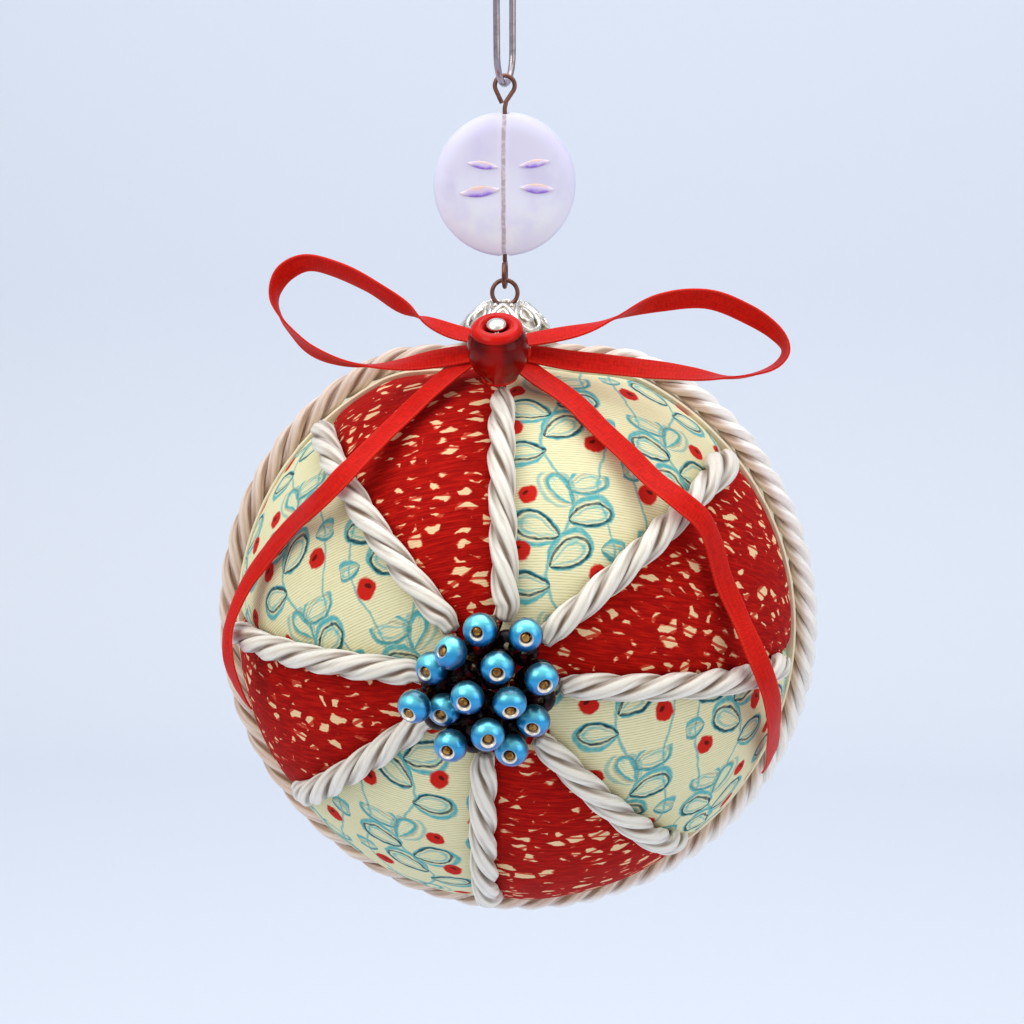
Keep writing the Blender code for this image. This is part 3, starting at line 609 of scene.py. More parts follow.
# Twisted satin cords, each three plies of fine yarns
def satinCord(name, shade, creviceShade, low, high, sheen):
    look = Look(name, Roughness=0.36, Specular_IOR_Level=0.5, Sheen_Weight=sheen, Sheen_Roughness=0.3)
    flat = look.ownMap()
    fine = look.grain(look.place(flat, (0.5, 7.0, 1.0)), 1.0, 3.0, 0.6)
    coarse = look.grain(look.place(flat, (0.22, 1.7, 1.0)), 1.0, 2.0)
    # painted shade: darker deep in the plies' crevices, by the painted depth, lighter on their crests
    tone = look.mix(creviceShade, shade, look.step(look.painted("depth"), low, high))
    x, y, z = look.parts(look.onObject())
    up = z - ball["middle"].z
    outside = look.step((x * x + up * up) ** 0.5, *(r * mm for r in cords["lit"]))
    # painted highlight towards the rim cord's outside, and painted sheen in white streaks along the plies
    tone = tone.over("#FFFFFF", (look.step(coarse, 0.5, 0.75) * 0.4).most(outside * 0.85))
    look.bump(fine + coarse * 0.6, 0.55, 0.07)
    # darker in the fine yarns' grooves: painted shade
    return look.done(tone.over("#A88C7C", look.step(fine, 0.46, 0.3) * 0.4), fine * 0.25 + 0.24)


cords = {
    "lobe": 1.66, "ridge": 5.2, "lift": 1.15, "start": 12.8,
    "head": 0.7, "tail": 0.62, "headLong": 2.2, "tailLong": 2.6,
    "dive": {"bottom": 2.4, "lower_left": 2.3, "lower_right": 1.9, "right": 0.8}, "diveLong": 15.0,
    "tuft": {"upper_right": 0.42}, "tuftTail": 0.9, "tuftAt": 1.9, "tuftWide": 2.4, "ply": (0.545, 0.47),
    "step": 0.3, "around": 30, "yarns": 5, "yarnDepth": 0.055, "plyForm": (0.94, 1.08),
    # crevice deepens the painted shade between the yarns
    "yarnTurn": 1.15, "uneven": 0.04, "crevice": 0.2, "blunt": 0.35,
    "rim": {"lobe": 1.5, "ridge": 3.9, "sway": 0.7, "ply": (0.5, 0.53), "radius": 36.5, "split": -2.3,
            "splitHalf": 0.6, "loose": 0.08, "end": 0.75, "endShare": 120.0},
    "lit": (36.9, 38.2),         # painted highlight: the rim cord is painted lighter towards its outside, between these radii
}
looks["cord"] = satinCord("pearlCord", "#EDE8DE", "#84705F", 0.04, 0.76, 0.3)
# the rim cord's taupe colours are the same satin painted in shade
looks["rimCord"] = satinCord("rimCord", "#E8D3C4", "#AC8B76", 0.1, 0.8, 1.0)


def twistedCord(name, node, route, ridge, lobe, ply, size, material, loose):
    # The route is a row of (spot, outward); ridge and size go by the share of the way along it.
    around, total = cords["around"], len(route)
    plyR, offset = lobe * ply[0], lobe * ply[1]
    flatten, widen = cords["plyForm"]
    frames = []
    turn, along = 0.0, 0.0
    for index, (spot, outward) in enumerate(route):
        before, after = route[max(0, index - 1)][0], route[min(total - 1, index + 1)][0]
        forward = (after - before).normalized()
        sideways = forward.cross(outward).normalized()
        share = index / (total - 1)
        if index:
            moved = (spot - route[index - 1][0]).length / mm
            along += moved
            turn -= math.radians(120.0) * moved / ridge(share)
        frames.append((spot, forward, sideways, sideways.cross(forward), turn, along, size(share)))
    points, faces, marks, depth = [], [], [], []
    for strand in range(3):
        base = len(points)
        for spot, forward, sideways, up, turn, along, scale in frames:
            wander = 1.0 + loose * noise.noise(Vector((along * 0.35, strand * 9.0, 1.7)))
            angle = turn + math.radians(120.0) * strand
            radial = math.cos(angle) * up + math.sin(angle) * sideways
            tangent = math.cos(angle) * sideways - math.sin(angle) * up
            centre = spot + radial * (offset * scale * wander * mm)
            for k in range(around):
                beta = 2 * math.pi * k / around
                turned = cords["yarns"] * beta + along * cords["yarnTurn"] + strand
                yarn = 1.0 + cords["yarnDepth"] * math.cos(turned)
                uneven = 1.0 + cords["uneven"] * noise.noise(Vector((along * 0.6, beta, strand)))
                swell = plyR * scale * yarn * uneven
                out, aside = -math.cos(beta) * swell * flatten, math.sin(beta) * swell * widen
                points.append(centre + (radial * out + tangent * aside) * mm)
                marks.append((along + strand * 31.0, k / around * 2 * math.pi * plyR))
                # depth, how far out on its ply a point stands and less between the yarns, carries the
                # cords' painted shade
                between = (1.0 + cords["yarnDepth"] - yarn) / cords["yarnDepth"]
                depth.append(max(0.0, (offset + out) / (offset + plyR) - cords["crevice"] * between))
        faces.extend(tuple(base + n for n in face) for face in tubeFaces(total, around))
        for start, direction in ((base, -frames[0][1]), (base + (total - 1) * around, frames[-1][1])):
            ring = points[start:start + around]
            tip = len(points)
            points.append(sum(ring, Vector()) / around + direction * (cords["blunt"] * plyR * mm))
            marks.append(marks[start])
            depth.append(0.6)
            faces.extend((start + k, start + (k + 1) % around, tip) for k in range(around))
    piece = meshPiece(name, points, faces, material, marks)
    paint(piece, "depth", depth)
    bpy.ops.object.shade_smooth()
    finishPiece(piece, name, node)


def seamCord(seam):
    name, angle, aside, cordEnd = seam
    radius = ball["radius"] + cords["lift"]
    sweep = math.radians(cordEnd - cords["start"])
    long = sweep * radius
    count = round(long / cords["step"])
    route = []
    for k in range(count + 1):
        polar = math.radians(cords["start"]) + sweep * k / count
        sunk = cords["dive"].get(name, 0.0) * smooth(1.0 - (1.0 - k / count) * long / cords["diveLong"])
        spot = onBall(polar, seamAngle(seam, ball["radius"] * math.sin(polar)), radius - sunk)
        route.append((spot, (spot - ball["middle"]).normalized()))

    def size(share):
        start = smooth(share * long / cords["headLong"])
        end = smooth((1.0 - share) * long / cords["tailLong"])
        away = ((1.0 - share) * long - cords["tuftAt"]) / cords["tuftWide"]
        fat = cords["tuft"].get(name, 0.0) * math.exp(-away ** 2)
        tail = cords["tuftTail"] if fat else cords["tail"]
        return fat + min(cords["head"] + (1.0 - cords["head"]) * start, tail + (1.0 - tail) * end)

    loose = 0.35 if name in cords["tuft"] else 0.12
    twistedCord("SeamCord" + name.title().replace("_", ""), "seam_cord_" + name, route,
                lambda share: cords["ridge"], cords["lobe"], cords["ply"], size, looks["cord"], loose)


def rimCord():
    form = cords["rim"]
    split = form["splitHalf"] / (form["radius"] - ball["capDip"])
    sweep = 2 * math.pi - 2 * split
    count = round(form["radius"] * sweep / cords["step"])
    route = []
    for k in range(count + 1):
        angle = math.radians(form["split"]) + split + sweep * k / count
        outward = Vector((math.sin(angle), 0.0, math.cos(angle)))
        route.append((ball["middle"] + (form["radius"] - capDip(angle)) * mm * outward, outward))

    def size(share):
        return form["end"] + (1.0 - form["end"]) * smooth(min(share, 1.0 - share) * form["endShare"])

    def ridge(share):            # laid up looser on the left than on the right
        return form["ridge"] - form["sway"] * math.sin(2 * math.pi * share)

    twistedCord("RimCord", "rim_cord", route, ridge, form["lobe"], form["ply"], size, looks["rimCord"],
                form["loose"])


for seam in ball["seams"]:
    seamCord(seam)
rimCord()
print("cords laid")


# Tape under the rim cord, with its front and back edges turned out
tape = {"rows": ((-2.75, 34.5), (-2.95, 34.95), (-2.75, 35.2), (-2.3, 35.05), (-1.2, 34.95), (1.2, 34.95),
                 (2.3, 35.05), (2.75, 35.2), (2.95, 34.95), (2.75, 34.5)), "thick": 0.9, "around": 220,
        "wave": 0.06, "waves": 60.0, "waveFrom": 34.6, "insideShare": 0.9}


def rimTape():
    inside = [(y * tape["insideShare"], r - tape["thick"]) for y, r in reversed(tape["rows"])]
    rows = list(tape["rows"]) + inside
    points = []
    for k in range(tape["around"]):
        angle = 2 * math.pi * k / tape["around"]
        wave = tape["wave"] * math.sin(angle * tape["waves"])
        wave *= noise.noise(Vector((angle * 4.0, 0.0, 3.0)))
        for y, r in rows:
            reach = r - capDip(angle) + (wave if r > tape["waveFrom"] else 0.0)
            spot = Vector((reach * math.sin(angle), y, reach * math.cos(angle)))
            points.append(ball["middle"] + spot * mm)
    faces = tubeFaces(tape["around"], len(rows), closed=True)
    piece = meshPiece("RimTape", points, faces, looks["tape"])
    smoothBelow(60.0)
    finishPiece(piece, "RimTape", "rim_tape")


rimTape()
print("tape laid")


# Ribbon bow
ribbon = {
    "wide": 3.1, "thick": 0.3, "loopY": -13.0, "perGap": 7, "across": 6,
    "cup": 0.10, "edgeThin": 0.75, "slantRows": 8,      # the hollow, the edges and the cut ends
    "leftLoop": (
        # x, z, lean of the near edge outwards
        (-3.0, 37.3, -20), (-6.6, 38.1, -24), (-9.6, 39.3, -10), (-12.5, 40.9, 36), (-16.5, 43.5, 40),
        (-20.8, 45.5, 42), (-24.2, 46.2, 44), (-26.8, 44.9, 40), (-28.0, 42.3, 14), (-27.4, 39.9, -10),
        (-26.0, 38.0, -22), (-23.9, 36.0, -29), (-20.8, 34.6, -24), (-17.2, 34.0, -8), (-13.0, 34.2, 16),
        (-8.8, 34.9, 36), (-4.0, 35.7, 34),
    ),
    "rightLoop": (
        (1.6, 37.2, -20), (5.6, 37.9, -24), (9.6, 38.8, -14), (13.7, 40.3, 12), (18.2, 41.9, 46),
        (23.6, 42.4, 52), (28.6, 40.6, 50), (32.0, 38.3, 36), (33.2, 36.0, 14), (31.4, 34.0, 2),
        (27.0, 32.9, -6), (21.5, 33.3, 24), (15.0, 34.0, 38), (8.0, 34.7, 40), (2.6, 35.5, 34),
    ),
    "leftTail": (
        (69.5, -2.0, 2.5), (69.8, -7.6, 2.3), (65.0, -13.1, 2.1), (58.7, -22.2, 1.6),
        (52.2, -30.3, 2.9), (48.1, -38.5, 4.2), (48.5, -47.2, 3.6), (53.6, -57.4, 1.8),
        (57.5, -67.1, 1.5), (60.3, -74.5, 1.9), (60.4, -80.5, 2.9), (59.2, -86.0, 3.9),
        (57.6, -91.0, 4.2), (57.7, -96.8, 3.5), (59.5, -102.0, 2.2),
    ),
    "rightTail": (
        (69.5, 1.0, 2.5), (64.5, 7.0, 2.0), (60.3, 14.8, 1.6), (55.7, 22.3, 1.5), (52.4, 30.3, 1.9),
        (49.2, 38.6, 3.0), (48.2, 46.0, 4.3), (49.1, 52.9, 4.3), (50.0, 60.1, 2.9), (50.2, 68.3, 1.7),
        (50.9, 76.2, 1.9), (50.7, 84.4, 3.5), (52.9, 92.5, 4.4), (58.9, 101.0, 3.6), (67.0, 108.4, 2.2),
        (77.5, 115.0, 1.5),
    ),
    "knotPolar": (69.6, -1.0), "knotHeight": 3.1, "knotHalf": (3.7, 1.9, 2.0),
}


def satinRibbon():
    look = Look("redSatinRibbon", Roughness=0.4, Specular_IOR_Level=0.1)
    u, v = look.parts(look.ownMap())[:2]
    flat = look.flatSpot(u, v)
    weft = (u * (2 * math.pi / 0.42)).maths("SINE") * 0.5 + 0.5
    thread = look.grain(look.place(flat, (5.5, 0.9, 1.0)), 1.0, 3.0, 0.6)
    warp = look.grain(look.place(flat, (0.35, 6.0, 1.0)), 1.0, 2.0)
    edge = look.step(abs(v), 1.22, 1.4)
    tone = look.mix("#B00E06", "#DC1A0C", look.step(thread * 0.6 + warp * 0.4, 0.32, 0.66))
    # darker between the weft threads: painted shade
    tone = tone.over("#960804", (1.0 - weft) * 0.1)
    look.bump(thread * 0.6 + warp * 0.3 + weft * 0.2 + edge * 0.8, 0.4, 0.045)
    return look.done(tone.over("#D42A1C", edge * (weft * 0.5 + 0.3)), thread * 0.25 + 0.4)


looks["ribbon"] = satinRibbon()


def stationsOf(spots, widthAt):      # spot, width, face and run of the ribbon at each spot
    stations = []
    for index, spot in enumerate(spots):
        before, after = spots[max(0, index - 1)], spots[min(len(spots) - 1, index + 1)]
        along = (after - before).normalized()
        width = widthAt(index, spot, along)
        stations.append((spot, width, along.cross(width).normalized(), along))
    return stations


def loopStations(rows, outwardSide):
    dense = throughRows(rows, ribbon["perGap"])
    spots = [ball["middle"] + Vector((x, ribbon["loopY"], z)) * mm for x, z, lean in dense]

    def widthAt(index, spot, along):
        tip = math.radians(dense[index][2])
        outward = Vector((-along.z, 0.0, along.x)) * outwardSide
        return Vector((0.0, -math.cos(tip), 0.0)) + outward * math.sin(tip)

    return stationsOf(spots, widthAt)


def tailStations(rows):
    spots = [onBall(math.radians(polar), math.radians(angle), ball["radius"] + lift)
             for polar, angle, lift in throughRows(rows, ribbon["perGap"])]
    return stationsOf(spots, lambda index, spot, along: along.cross(
        (spot - ball["middle"]).normalized()).normalized())


def ribbonStrip(name, stations, slant=0.0, seed=0.0):
    across = ribbon["across"]
    points, marks = [], []
    run = 0.0
    for index, (spot, width, face, along) in enumerate(stations):
        if index:
            run += (spot - stations[index - 1][0]).length / mm
        last = smooth(1.0 - (len(stations) - 1 - index) / ribbon["slantRows"]) if slant else 0.0
        for side in (1.0, -1.0):
            for k in range(across + 1):
                share = (k if side > 0 else across - k) / across * 2 - 1
                uneven = noise.noise(Vector((run * 0.25, share * 1.2, seed)))
                cup = ribbon["cup"] * (share * share + uneven)
                edge = ribbon["edgeThin"] if abs(share) > 0.99 else 1.0
                lift = side * ribbon["thick"] / 2 * edge + cup
                point = spot + (width * (share * ribbon["wide"] / 2) + face * lift
                                + along * (slant * (share + 1.0) / 2 * last)) * mm
                points.append(point)
                marks.append((run, share * ribbon["wide"] / 2))
    around = 2 * (across + 1)
    faces = tubeFaces(len(stations), around)
    faces.append(tuple(range(around)))
    faces.append(tuple(range(around * (len(stations) - 1), around * len(stations))))
    piece = meshPiece(name, points, faces, looks["ribbon"], marks)
    smoothBelow(60.0)
    finishPiece(piece, name, "ribbon_bow")


def bowKnot():
    polar, angle = (math.radians(a) for a in ribbon["knotPolar"])
    middle = onBall(polar, angle, ball["radius"] + ribbon["knotHeight"])
    knot = ballForm(40, 1.0, rings=24)
    outward = (middle - ball["middle"]).normalized()
    turn = outward.to_track_quat("Z", "Y").to_matrix()
    marks = []
    for vert in knot.data.vertices:
        local = vert.co / mm
        fold = 0.10 * math.sin(local.y * 7.0 + 1.2 * local.x) * (1.0 - abs(local.x)) + 0.95
        local = Vector(k * c * fold for k, c in zip(ribbon["knotHalf"], local))
        marks.append((local.y * 1.4 + local.z, local.x))
        vert.co = middle + turn @ (local * mm)
    mapCloth(knot.data, marks)
    knot.data.materials.append(looks["ribbon"])
    bpy.ops.object.shade_smooth()
    finishPiece(knot, "BowKnot", "ribbon_bow")


ribbonStrip("BowLeftLoop", loopStations(ribbon["leftLoop"], -1), seed=2.0)
ribbonStrip("BowRightLoop", loopStations(ribbon["rightLoop"], 1), seed=5.0)
ribbonStrip("BowLeftTail", tailStations(ribbon["leftTail"]), slant=-2.2, seed=8.0)
ribbonStrip("BowRightTail", tailStations(ribbon["rightTail"]), slant=2.6, seed=11.0)
bowKnot()
print("bow tied")


# Small hard pieces
def metal(name, colour, dull, rough):
    look = Look(name, Metallic=1.0)
    spot = look.onObject()
    rub = look.grain(spot, 700.0, 4.0, 0.6)
    fine = look.grain(look.place(spot, (1.0, 1.0, 0.15)), 6000.0, 2.0)
    look.bump(fine + rub, 0.25, 0.01)
    return look.done(look.mix(colour, dull, look.step(rub, 0.45, 0.7) * 0.6),
                     rub * 0.2 + fine * 0.1 + (rough - 0.1))


def blueGlass():
    look = Look("blueBead", Metallic=0.6, Coat_Weight=0.7, Coat_Roughness=0.1)
    cloudy = look.grain(look.onObject(), 900.0, 2.0)
    lift = look.painted("lift") + (cloudy - 0.5) * 0.3
    # painted light: darker below and lighter above, with a cyan painted highlight across the top
    tone = look.mix("#0A5AA6", "#22A4E4", look.step(lift, -0.8, 0.0))
    tone = tone.over("#7AF0FF", look.step(lift, 0.1, 0.75))
    side = look.painted("side")
    # painted shade at the sides, away from the hole
    tone = tone.over("#04325E", look.step(side + (cloudy - 0.5) * 0.1, 0.82, 1.0) * 0.85)
    # the pale collar round the hole is the bead's lining, painted cream towards the bottom as a
    # reflection
    collar = look.mix("#B9C9D8", "#F6ECDA", look.step(lift, -0.1, -0.4))
    tone = tone.over(collar, look.step(side + lift * 0.14, 0.45, 0.4))
    return look.done(tone, cloudy * 0.14 + 0.22)


def garnetGlass():
    look = Look("garnetBead", Roughness=0.25, Specular_IOR_Level=0.14)
    cloudy = look.grain(look.onObject(), 1200.0, 2.0)
    return look.done(look.mix("#0C0106", "#5E0812", look.step(cloudy, 0.5, 0.8)))


def pinHead():
    look = Look("pinHead", Metallic=1.0)
    rub = look.grain(look.onObject(), 1600.0, 3.0)
    return look.done(look.mix("#7E5226", "#C09050", look.step(rub, 0.4, 0.65)), rub * 0.2 + 0.25)


looks["blue"] = blueGlass()
looks["garnet"] = garnetGlass()
looks["pinHead"] = pinHead()
looks["silver"] = metal("brightSilver", "#F4F1EA", "#BEB8AE", 0.2)
# a darker copy of the silver: painted shade for the cap's shell, in the recess behind the ropes
looks["recess"] = metal("shadedSilver", "#C4BCB0", "#6A6056", 0.35)
looks["copper"] = metal("antiqueCopper", "#8A6054", "#4E322C", 0.34)
looks["steel"] = metal("hookSteel", "#B0A4AE", "#746A74", 0.24)

beads = {
    "outer": 1.95, "hole": 0.62, "half": 1.45, "crown": 1.68, "lip": 0.27,
    "head": (0.5, 0.5, 0.1, 1.25, 24),           # pin head's radius, flatness, place, segments
    "pinR": 0.34, "pinTop": 0.9, "pinFoot": 0.7, "pinSides": 10,
    "garnet": (1.8, 1.5, 0.4, 0.2), "garnetHalf": 1.2, "garnetGap": 0.1,
    "underShrink": 0.78, "fillReach": 37.6,
    "tips": (
        # how far each hole is turned right and up, in degrees
        (-9, -11), (0, -12), (-35, 18), (-20, -12), (3, -17), (12, -20), (-14, -20), (-6, -12), (-9, -12),
        (6, -27), (-9, -17), (9, -6), (-6, -6), (-9, -3),
    ),
    "fill": (
        # x and z of extra dark beads that close the gaps, partly a stand-in for the deep shade between
        # the beads
        (-1.5, 5.0), (-3.9, 1.5), (3.7, 4.7), (4.4, 1.2), (0.4, 2.0), (-0.6, -1.6), (-3.0, -3.8),
        (1.6, -2.2), (-6.2, 0.6), (-2.0, -5.6), (2.6, -4.6), (-4.2, 3.4), (5.6, -0.8), (-6.0, -3.0),
        (1.9, 5.3), (-1.9, 2.9),
    ),
}


def beadPlace(node):             # the far end of a bead and the way it points, from the CAD node
    spots = [v.co - ball["middle"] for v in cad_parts[node].data.vertices]
    far = max(s.length for s in spots)
    top = [s for s in spots if s.length > far - 0.5 * mm]
    outward = sum((s.normalized() for s in top), Vector()).normalized()
    return max(s.dot(outward) for s in spots), min(s.dot(outward) for s in spots), outward


def spunForm(profile, around, material):
    # A point is drawn out along one half section, closed on itself and spun about the Z axis.
    bpy.ops.mesh.primitive_plane_add(size=mm)
    piece = bpy.context.object
    bpy.ops.object.mode_set(mode="EDIT")
    bpy.ops.mesh.merge(type="CENTER")
    spots = [Vector((r, 0.0, h)) * mm for r, h in profile]
    bpy.ops.transform.translate(value=spots[0])
    for spot, following in zip(spots, spots[1:] + spots[:1]):
        bpy.ops.mesh.extrude_region_move(TRANSFORM_OT_translate={"value": following - spot})
    bpy.ops.mesh.select_all(action="SELECT")
    bpy.ops.mesh.spin(steps=around, angle=2 * math.pi, center=(0.0, 0.0, 0.0), axis=(0.0, 0.0, 1.0))
    bpy.ops.mesh.select_all(action="SELECT")
    bpy.ops.mesh.remove_doubles(threshold=0.002 * mm)
    bpy.ops.mesh.normals_make_consistent(inside=False)
    bpy.ops.object.mode_set(mode="OBJECT")
    piece.data.materials.append(material)
    smoothBelow(50.0)
    return piece


def beadForm(outer, crown, hole, lip, material):
    first = math.asin((hole + lip) / outer)
    profile = [(outer * math.sin(a), crown * math.cos(a))
               for a in (first + (math.pi - 2 * first) * k / 22 for k in range(23))]
    top = crown * math.cos(first)
    rim = [(hole + 0.55 * lip, top + 0.02), (hole + 0.12 * lip, top - 0.3 * lip), (hole, top - lip)]
    profile += [(r, -h) for r, h in rim] + [(r, h) for r, h in reversed(rim)]
    bead = spunForm(profile, 36, material)
    paint(bead, "side", [v.co.xy.length / (outer * mm) for v in bead.data.vertices])
    return bead


def copyOf(form):
    copied = form.copy()
    copied.data = form.data.copy()
    bpy.context.scene.collection.objects.link(copied)
    return copied


def settle(piece, middle, outward, spin=0.0, shrink=1.0):
    turn = outward.to_track_quat("Z", "Y").to_matrix() @ Matrix.Rotation(spin, 3, "Z") * shrink
    for vert in piece.data.vertices:
        vert.co = middle + turn @ vert.co


def beadCluster():
    blueForm = beadForm(beads["outer"], beads["crown"], beads["hole"], beads["lip"], looks["blue"])
    garnetForm = beadForm(*beads["garnet"], looks["garnet"])
    garnetWays = {n: beadPlace(n)[2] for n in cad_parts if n.startswith("garnet_bead_")}
    for number, (right, up) in enumerate(beads["tips"], 1):
        node = "blue_bead_%02d" % number
        top, foot, outward = beadPlace(node)
        middleReach = top - beads["half"] * mm
        middle = ball["middle"] + outward * middleReach
        long = (middleReach - foot) / mm + beads["pinFoot"]
        shank = (beads["pinR"], long, beads["pinTop"] - long / 2, beads["pinSides"])
        pin = pinForm(beads["head"], shank, looks["pinHead"])
        bead = copyOf(blueForm)
        onlySelect(bead, pin)
        bpy.ops.object.join()
        tipped = outward + Vector((math.tan(math.radians(right)), 0.0, math.tan(math.radians(up))))
        settle(bead, middle, tipped.normalized(), number * 1.7)
        paint(bead, "lift", [(v.co.z - middle.z) / (beads["outer"] * mm) for v in bead.data.vertices])
        finishPiece(bead, "BlueBead%02d" % number, node)
        underReach = middleReach - (beads["half"] + beads["garnetHalf"] + beads["garnetGap"]) * mm
        under = copyOf(garnetForm)
        match = [n for n, way in garnetWays.items() if way.dot(outward) > 0.9995]
        settle(under, ball["middle"] + outward * underReach, outward,
               shrink=1.0 if match else beads["underShrink"])
        finishPiece(under, "GarnetBead%02d" % number, match[0] if match else None)
    # extra dark beads where the cluster lies in deep shade: partly painted shade
    fills = []
    for x, z in beads["fill"]:
        reach = beads["fillReach"]
        outward = Vector((x, -math.sqrt(reach ** 2 - x * x - z * z), z)).normalized()
        fill = copyOf(garnetForm)
        settle(fill, ball["middle"] + outward * (reach * mm), outward, x)
        fills.append(fill)
    onlySelect(*fills)
    bpy.ops.object.join()
    finishPiece(bpy.context.object, "GarnetShadeFill", None)
    bpy.data.objects.remove(blueForm)
    bpy.data.objects.remove(garnetForm)


beadCluster()
print("beads pinned")


# Red bead on the bow, its pin, and the cap
bowBead = {
    "polar": (62.3, -1.0), "base": 38.4, "facets": 28,
    "rows": ((1.7, -0.75), (2.2, -0.62), (2.3, -0.3), (2.75, 0.4), (3.35, 1.6), (3.62, 3.0), (3.6, 4.0),
             (3.42, 4.9), (3.1, 5.45), (2.98, 5.62), (3.12, 5.85), (3.02, 6.25), (2.6, 6.62), (1.9, 6.7),
             (1.5, 6.35), (1.05, 5.5), (0.9, 4.5), (0.9, 0.3), (1.3, -0.6)),
    "glow": (
        # height, share of the bright red there: painted light through the glass at the bottom rim and the
        # top ring, painted shade in the groove under the ring
        (-0.75, 0.95), (-0.3, 0.8), (0.1, 0.22), (3.0, 0.2), (4.6, 0.13), (5.6, 0.05), (5.9, 0.55),
        (6.7, 0.9),
    ),
    # streak paints glints in three bright stripes round the body; hollow is the painted shade inside the
    # bore
    "streak": 0.3, "hollow": 0.12,
    "head": (1.2, 0.5, 0.0, 6.6, 32),            # radius, flatness, place aside and up, segments
    "shank": (0.35, 10.0, 1.5, 12),              # radius, length, its middle's height, sides
}


def rubyGlass():
    look = Look("rubyBead", Coat_Weight=0.06, Coat_Roughness=0.06, Specular_IOR_Level=0.12)
    cloudy = look.grain(look.onObject(), 520.0, 2.0)
    # glow carries the bead's painted light and shade
    glow = look.painted("glow") + (cloudy - 0.5) * 0.4
    return look.done(look.mix("#4A0302", "#DC150A", glow.least(1.0)), cloudy * 0.1 + 0.14)


looks["ruby"] = rubyGlass()


def glowAt(spot):
    radius, turn, height = spot.xy.length / mm, math.atan2(spot.y, spot.x), spot.z / mm
    share = between(bowBead["glow"], height)
    # inside the bore: painted shade, lighter towards the top ring
    if radius < 2.5 and height > 0.0:
        return bowBead["hollow"] + share * smooth((height - 5.2) / 1.4) * 0.7
    return share + bowBead["streak"] * max(0.0, math.cos(turn * 3.0)) ** 2 * (1.0 - share)


def redBead():
    polar, angle = (math.radians(a) for a in bowBead["polar"])
    outward = (onBall(polar, angle, 1.0) - ball["middle"]).normalized()
    middle = ball["middle"] + outward * (bowBead["base"] * mm)
    bead = spunForm(bowBead["rows"], bowBead["facets"], looks["ruby"])
    startEdit(bead)
    bpy.ops.mesh.subdivide(number_cuts=2, smoothness=0.5)
    bpy.ops.object.mode_set(mode="OBJECT")
    smoothBelow(60.0)
    paint(bead, "glow", [glowAt(v.co) for v in bead.data.vertices])
    settle(bead, middle, outward, math.radians(-90.0))
    finishPiece(bead, "BowBead", "bow_bead")
    pin = pinForm(bowBead["head"], bowBead["shank"], looks["silver"])
    settle(pin, middle, outward)
    finishPiece(pin, "BowPin", "bow_pin")


redBead()

line = Vector((0.0, 0.0, ball["middle"].z))     # heights below are above the ball's middle
cap = {
    "rows": ((0.6, 39.3), (1.9, 39.4), (2.4, 40.3), (3.4, 39.6), (4.8, 38.3), (5.6, 37.0), (5.6, 36.4),
             (5.0, 36.4), (4.1, 37.9), (2.7, 38.7), (0.6, 38.6)),
    "petals": 8, "petalFrom": 3.2, "petalOut": 3.95, "petalLong": 1.45, "petalWide": 0.36,
    "ropeSteps": 24,
    "wave": (0.97, 0.06), "around": 72,
    "ropes": ((1.0, 0.3), (0.5, 0.24)),                          # petal's size, rope's radius
    "beading": ((5.55, 36.85, 44, 0.36), (2.4, 40.25, 22, 0.32)),   # radius, height, count, ball's radius
}


def ropeLoop(spots, radius, material, closed=True):
    bpy.ops.curve.primitive_bezier_circle_add(radius=mm)
    item = bpy.context.object
    item.data.splines.clear()
    spline = item.data.splines.new("POLY")
    spline.points.add(len(spots) - 1)
    for point, spot in zip(spline.points, spots):
        point.co = (*spot, 1.0)
    spline.use_cyclic_u = closed
    item.data.dimensions = "3D"
    item.data.bevel_depth = radius * mm
    item.data.bevel_resolution = 3
    item.data.use_fill_caps = True
    item.data.materials.append(material)
    onlySelect(item)
    bpy.ops.object.convert(target="MESH")
    bpy.ops.object.shade_smooth()
    return bpy.context.object


def turnRound(piece, count):     # copies of all of the piece's mesh, evenly round the Z axis
    startEdit(piece)
    bpy.ops.mesh.spin(steps=count, dupli=True, angle=2 * math.pi, center=line, axis=(0.0, 0.0, 1.0))
    bpy.ops.mesh.select_all(action="SELECT")
    bpy.ops.mesh.remove_doubles(threshold=0.002 * mm)
    bpy.ops.object.mode_set(mode="OBJECT")
    return piece


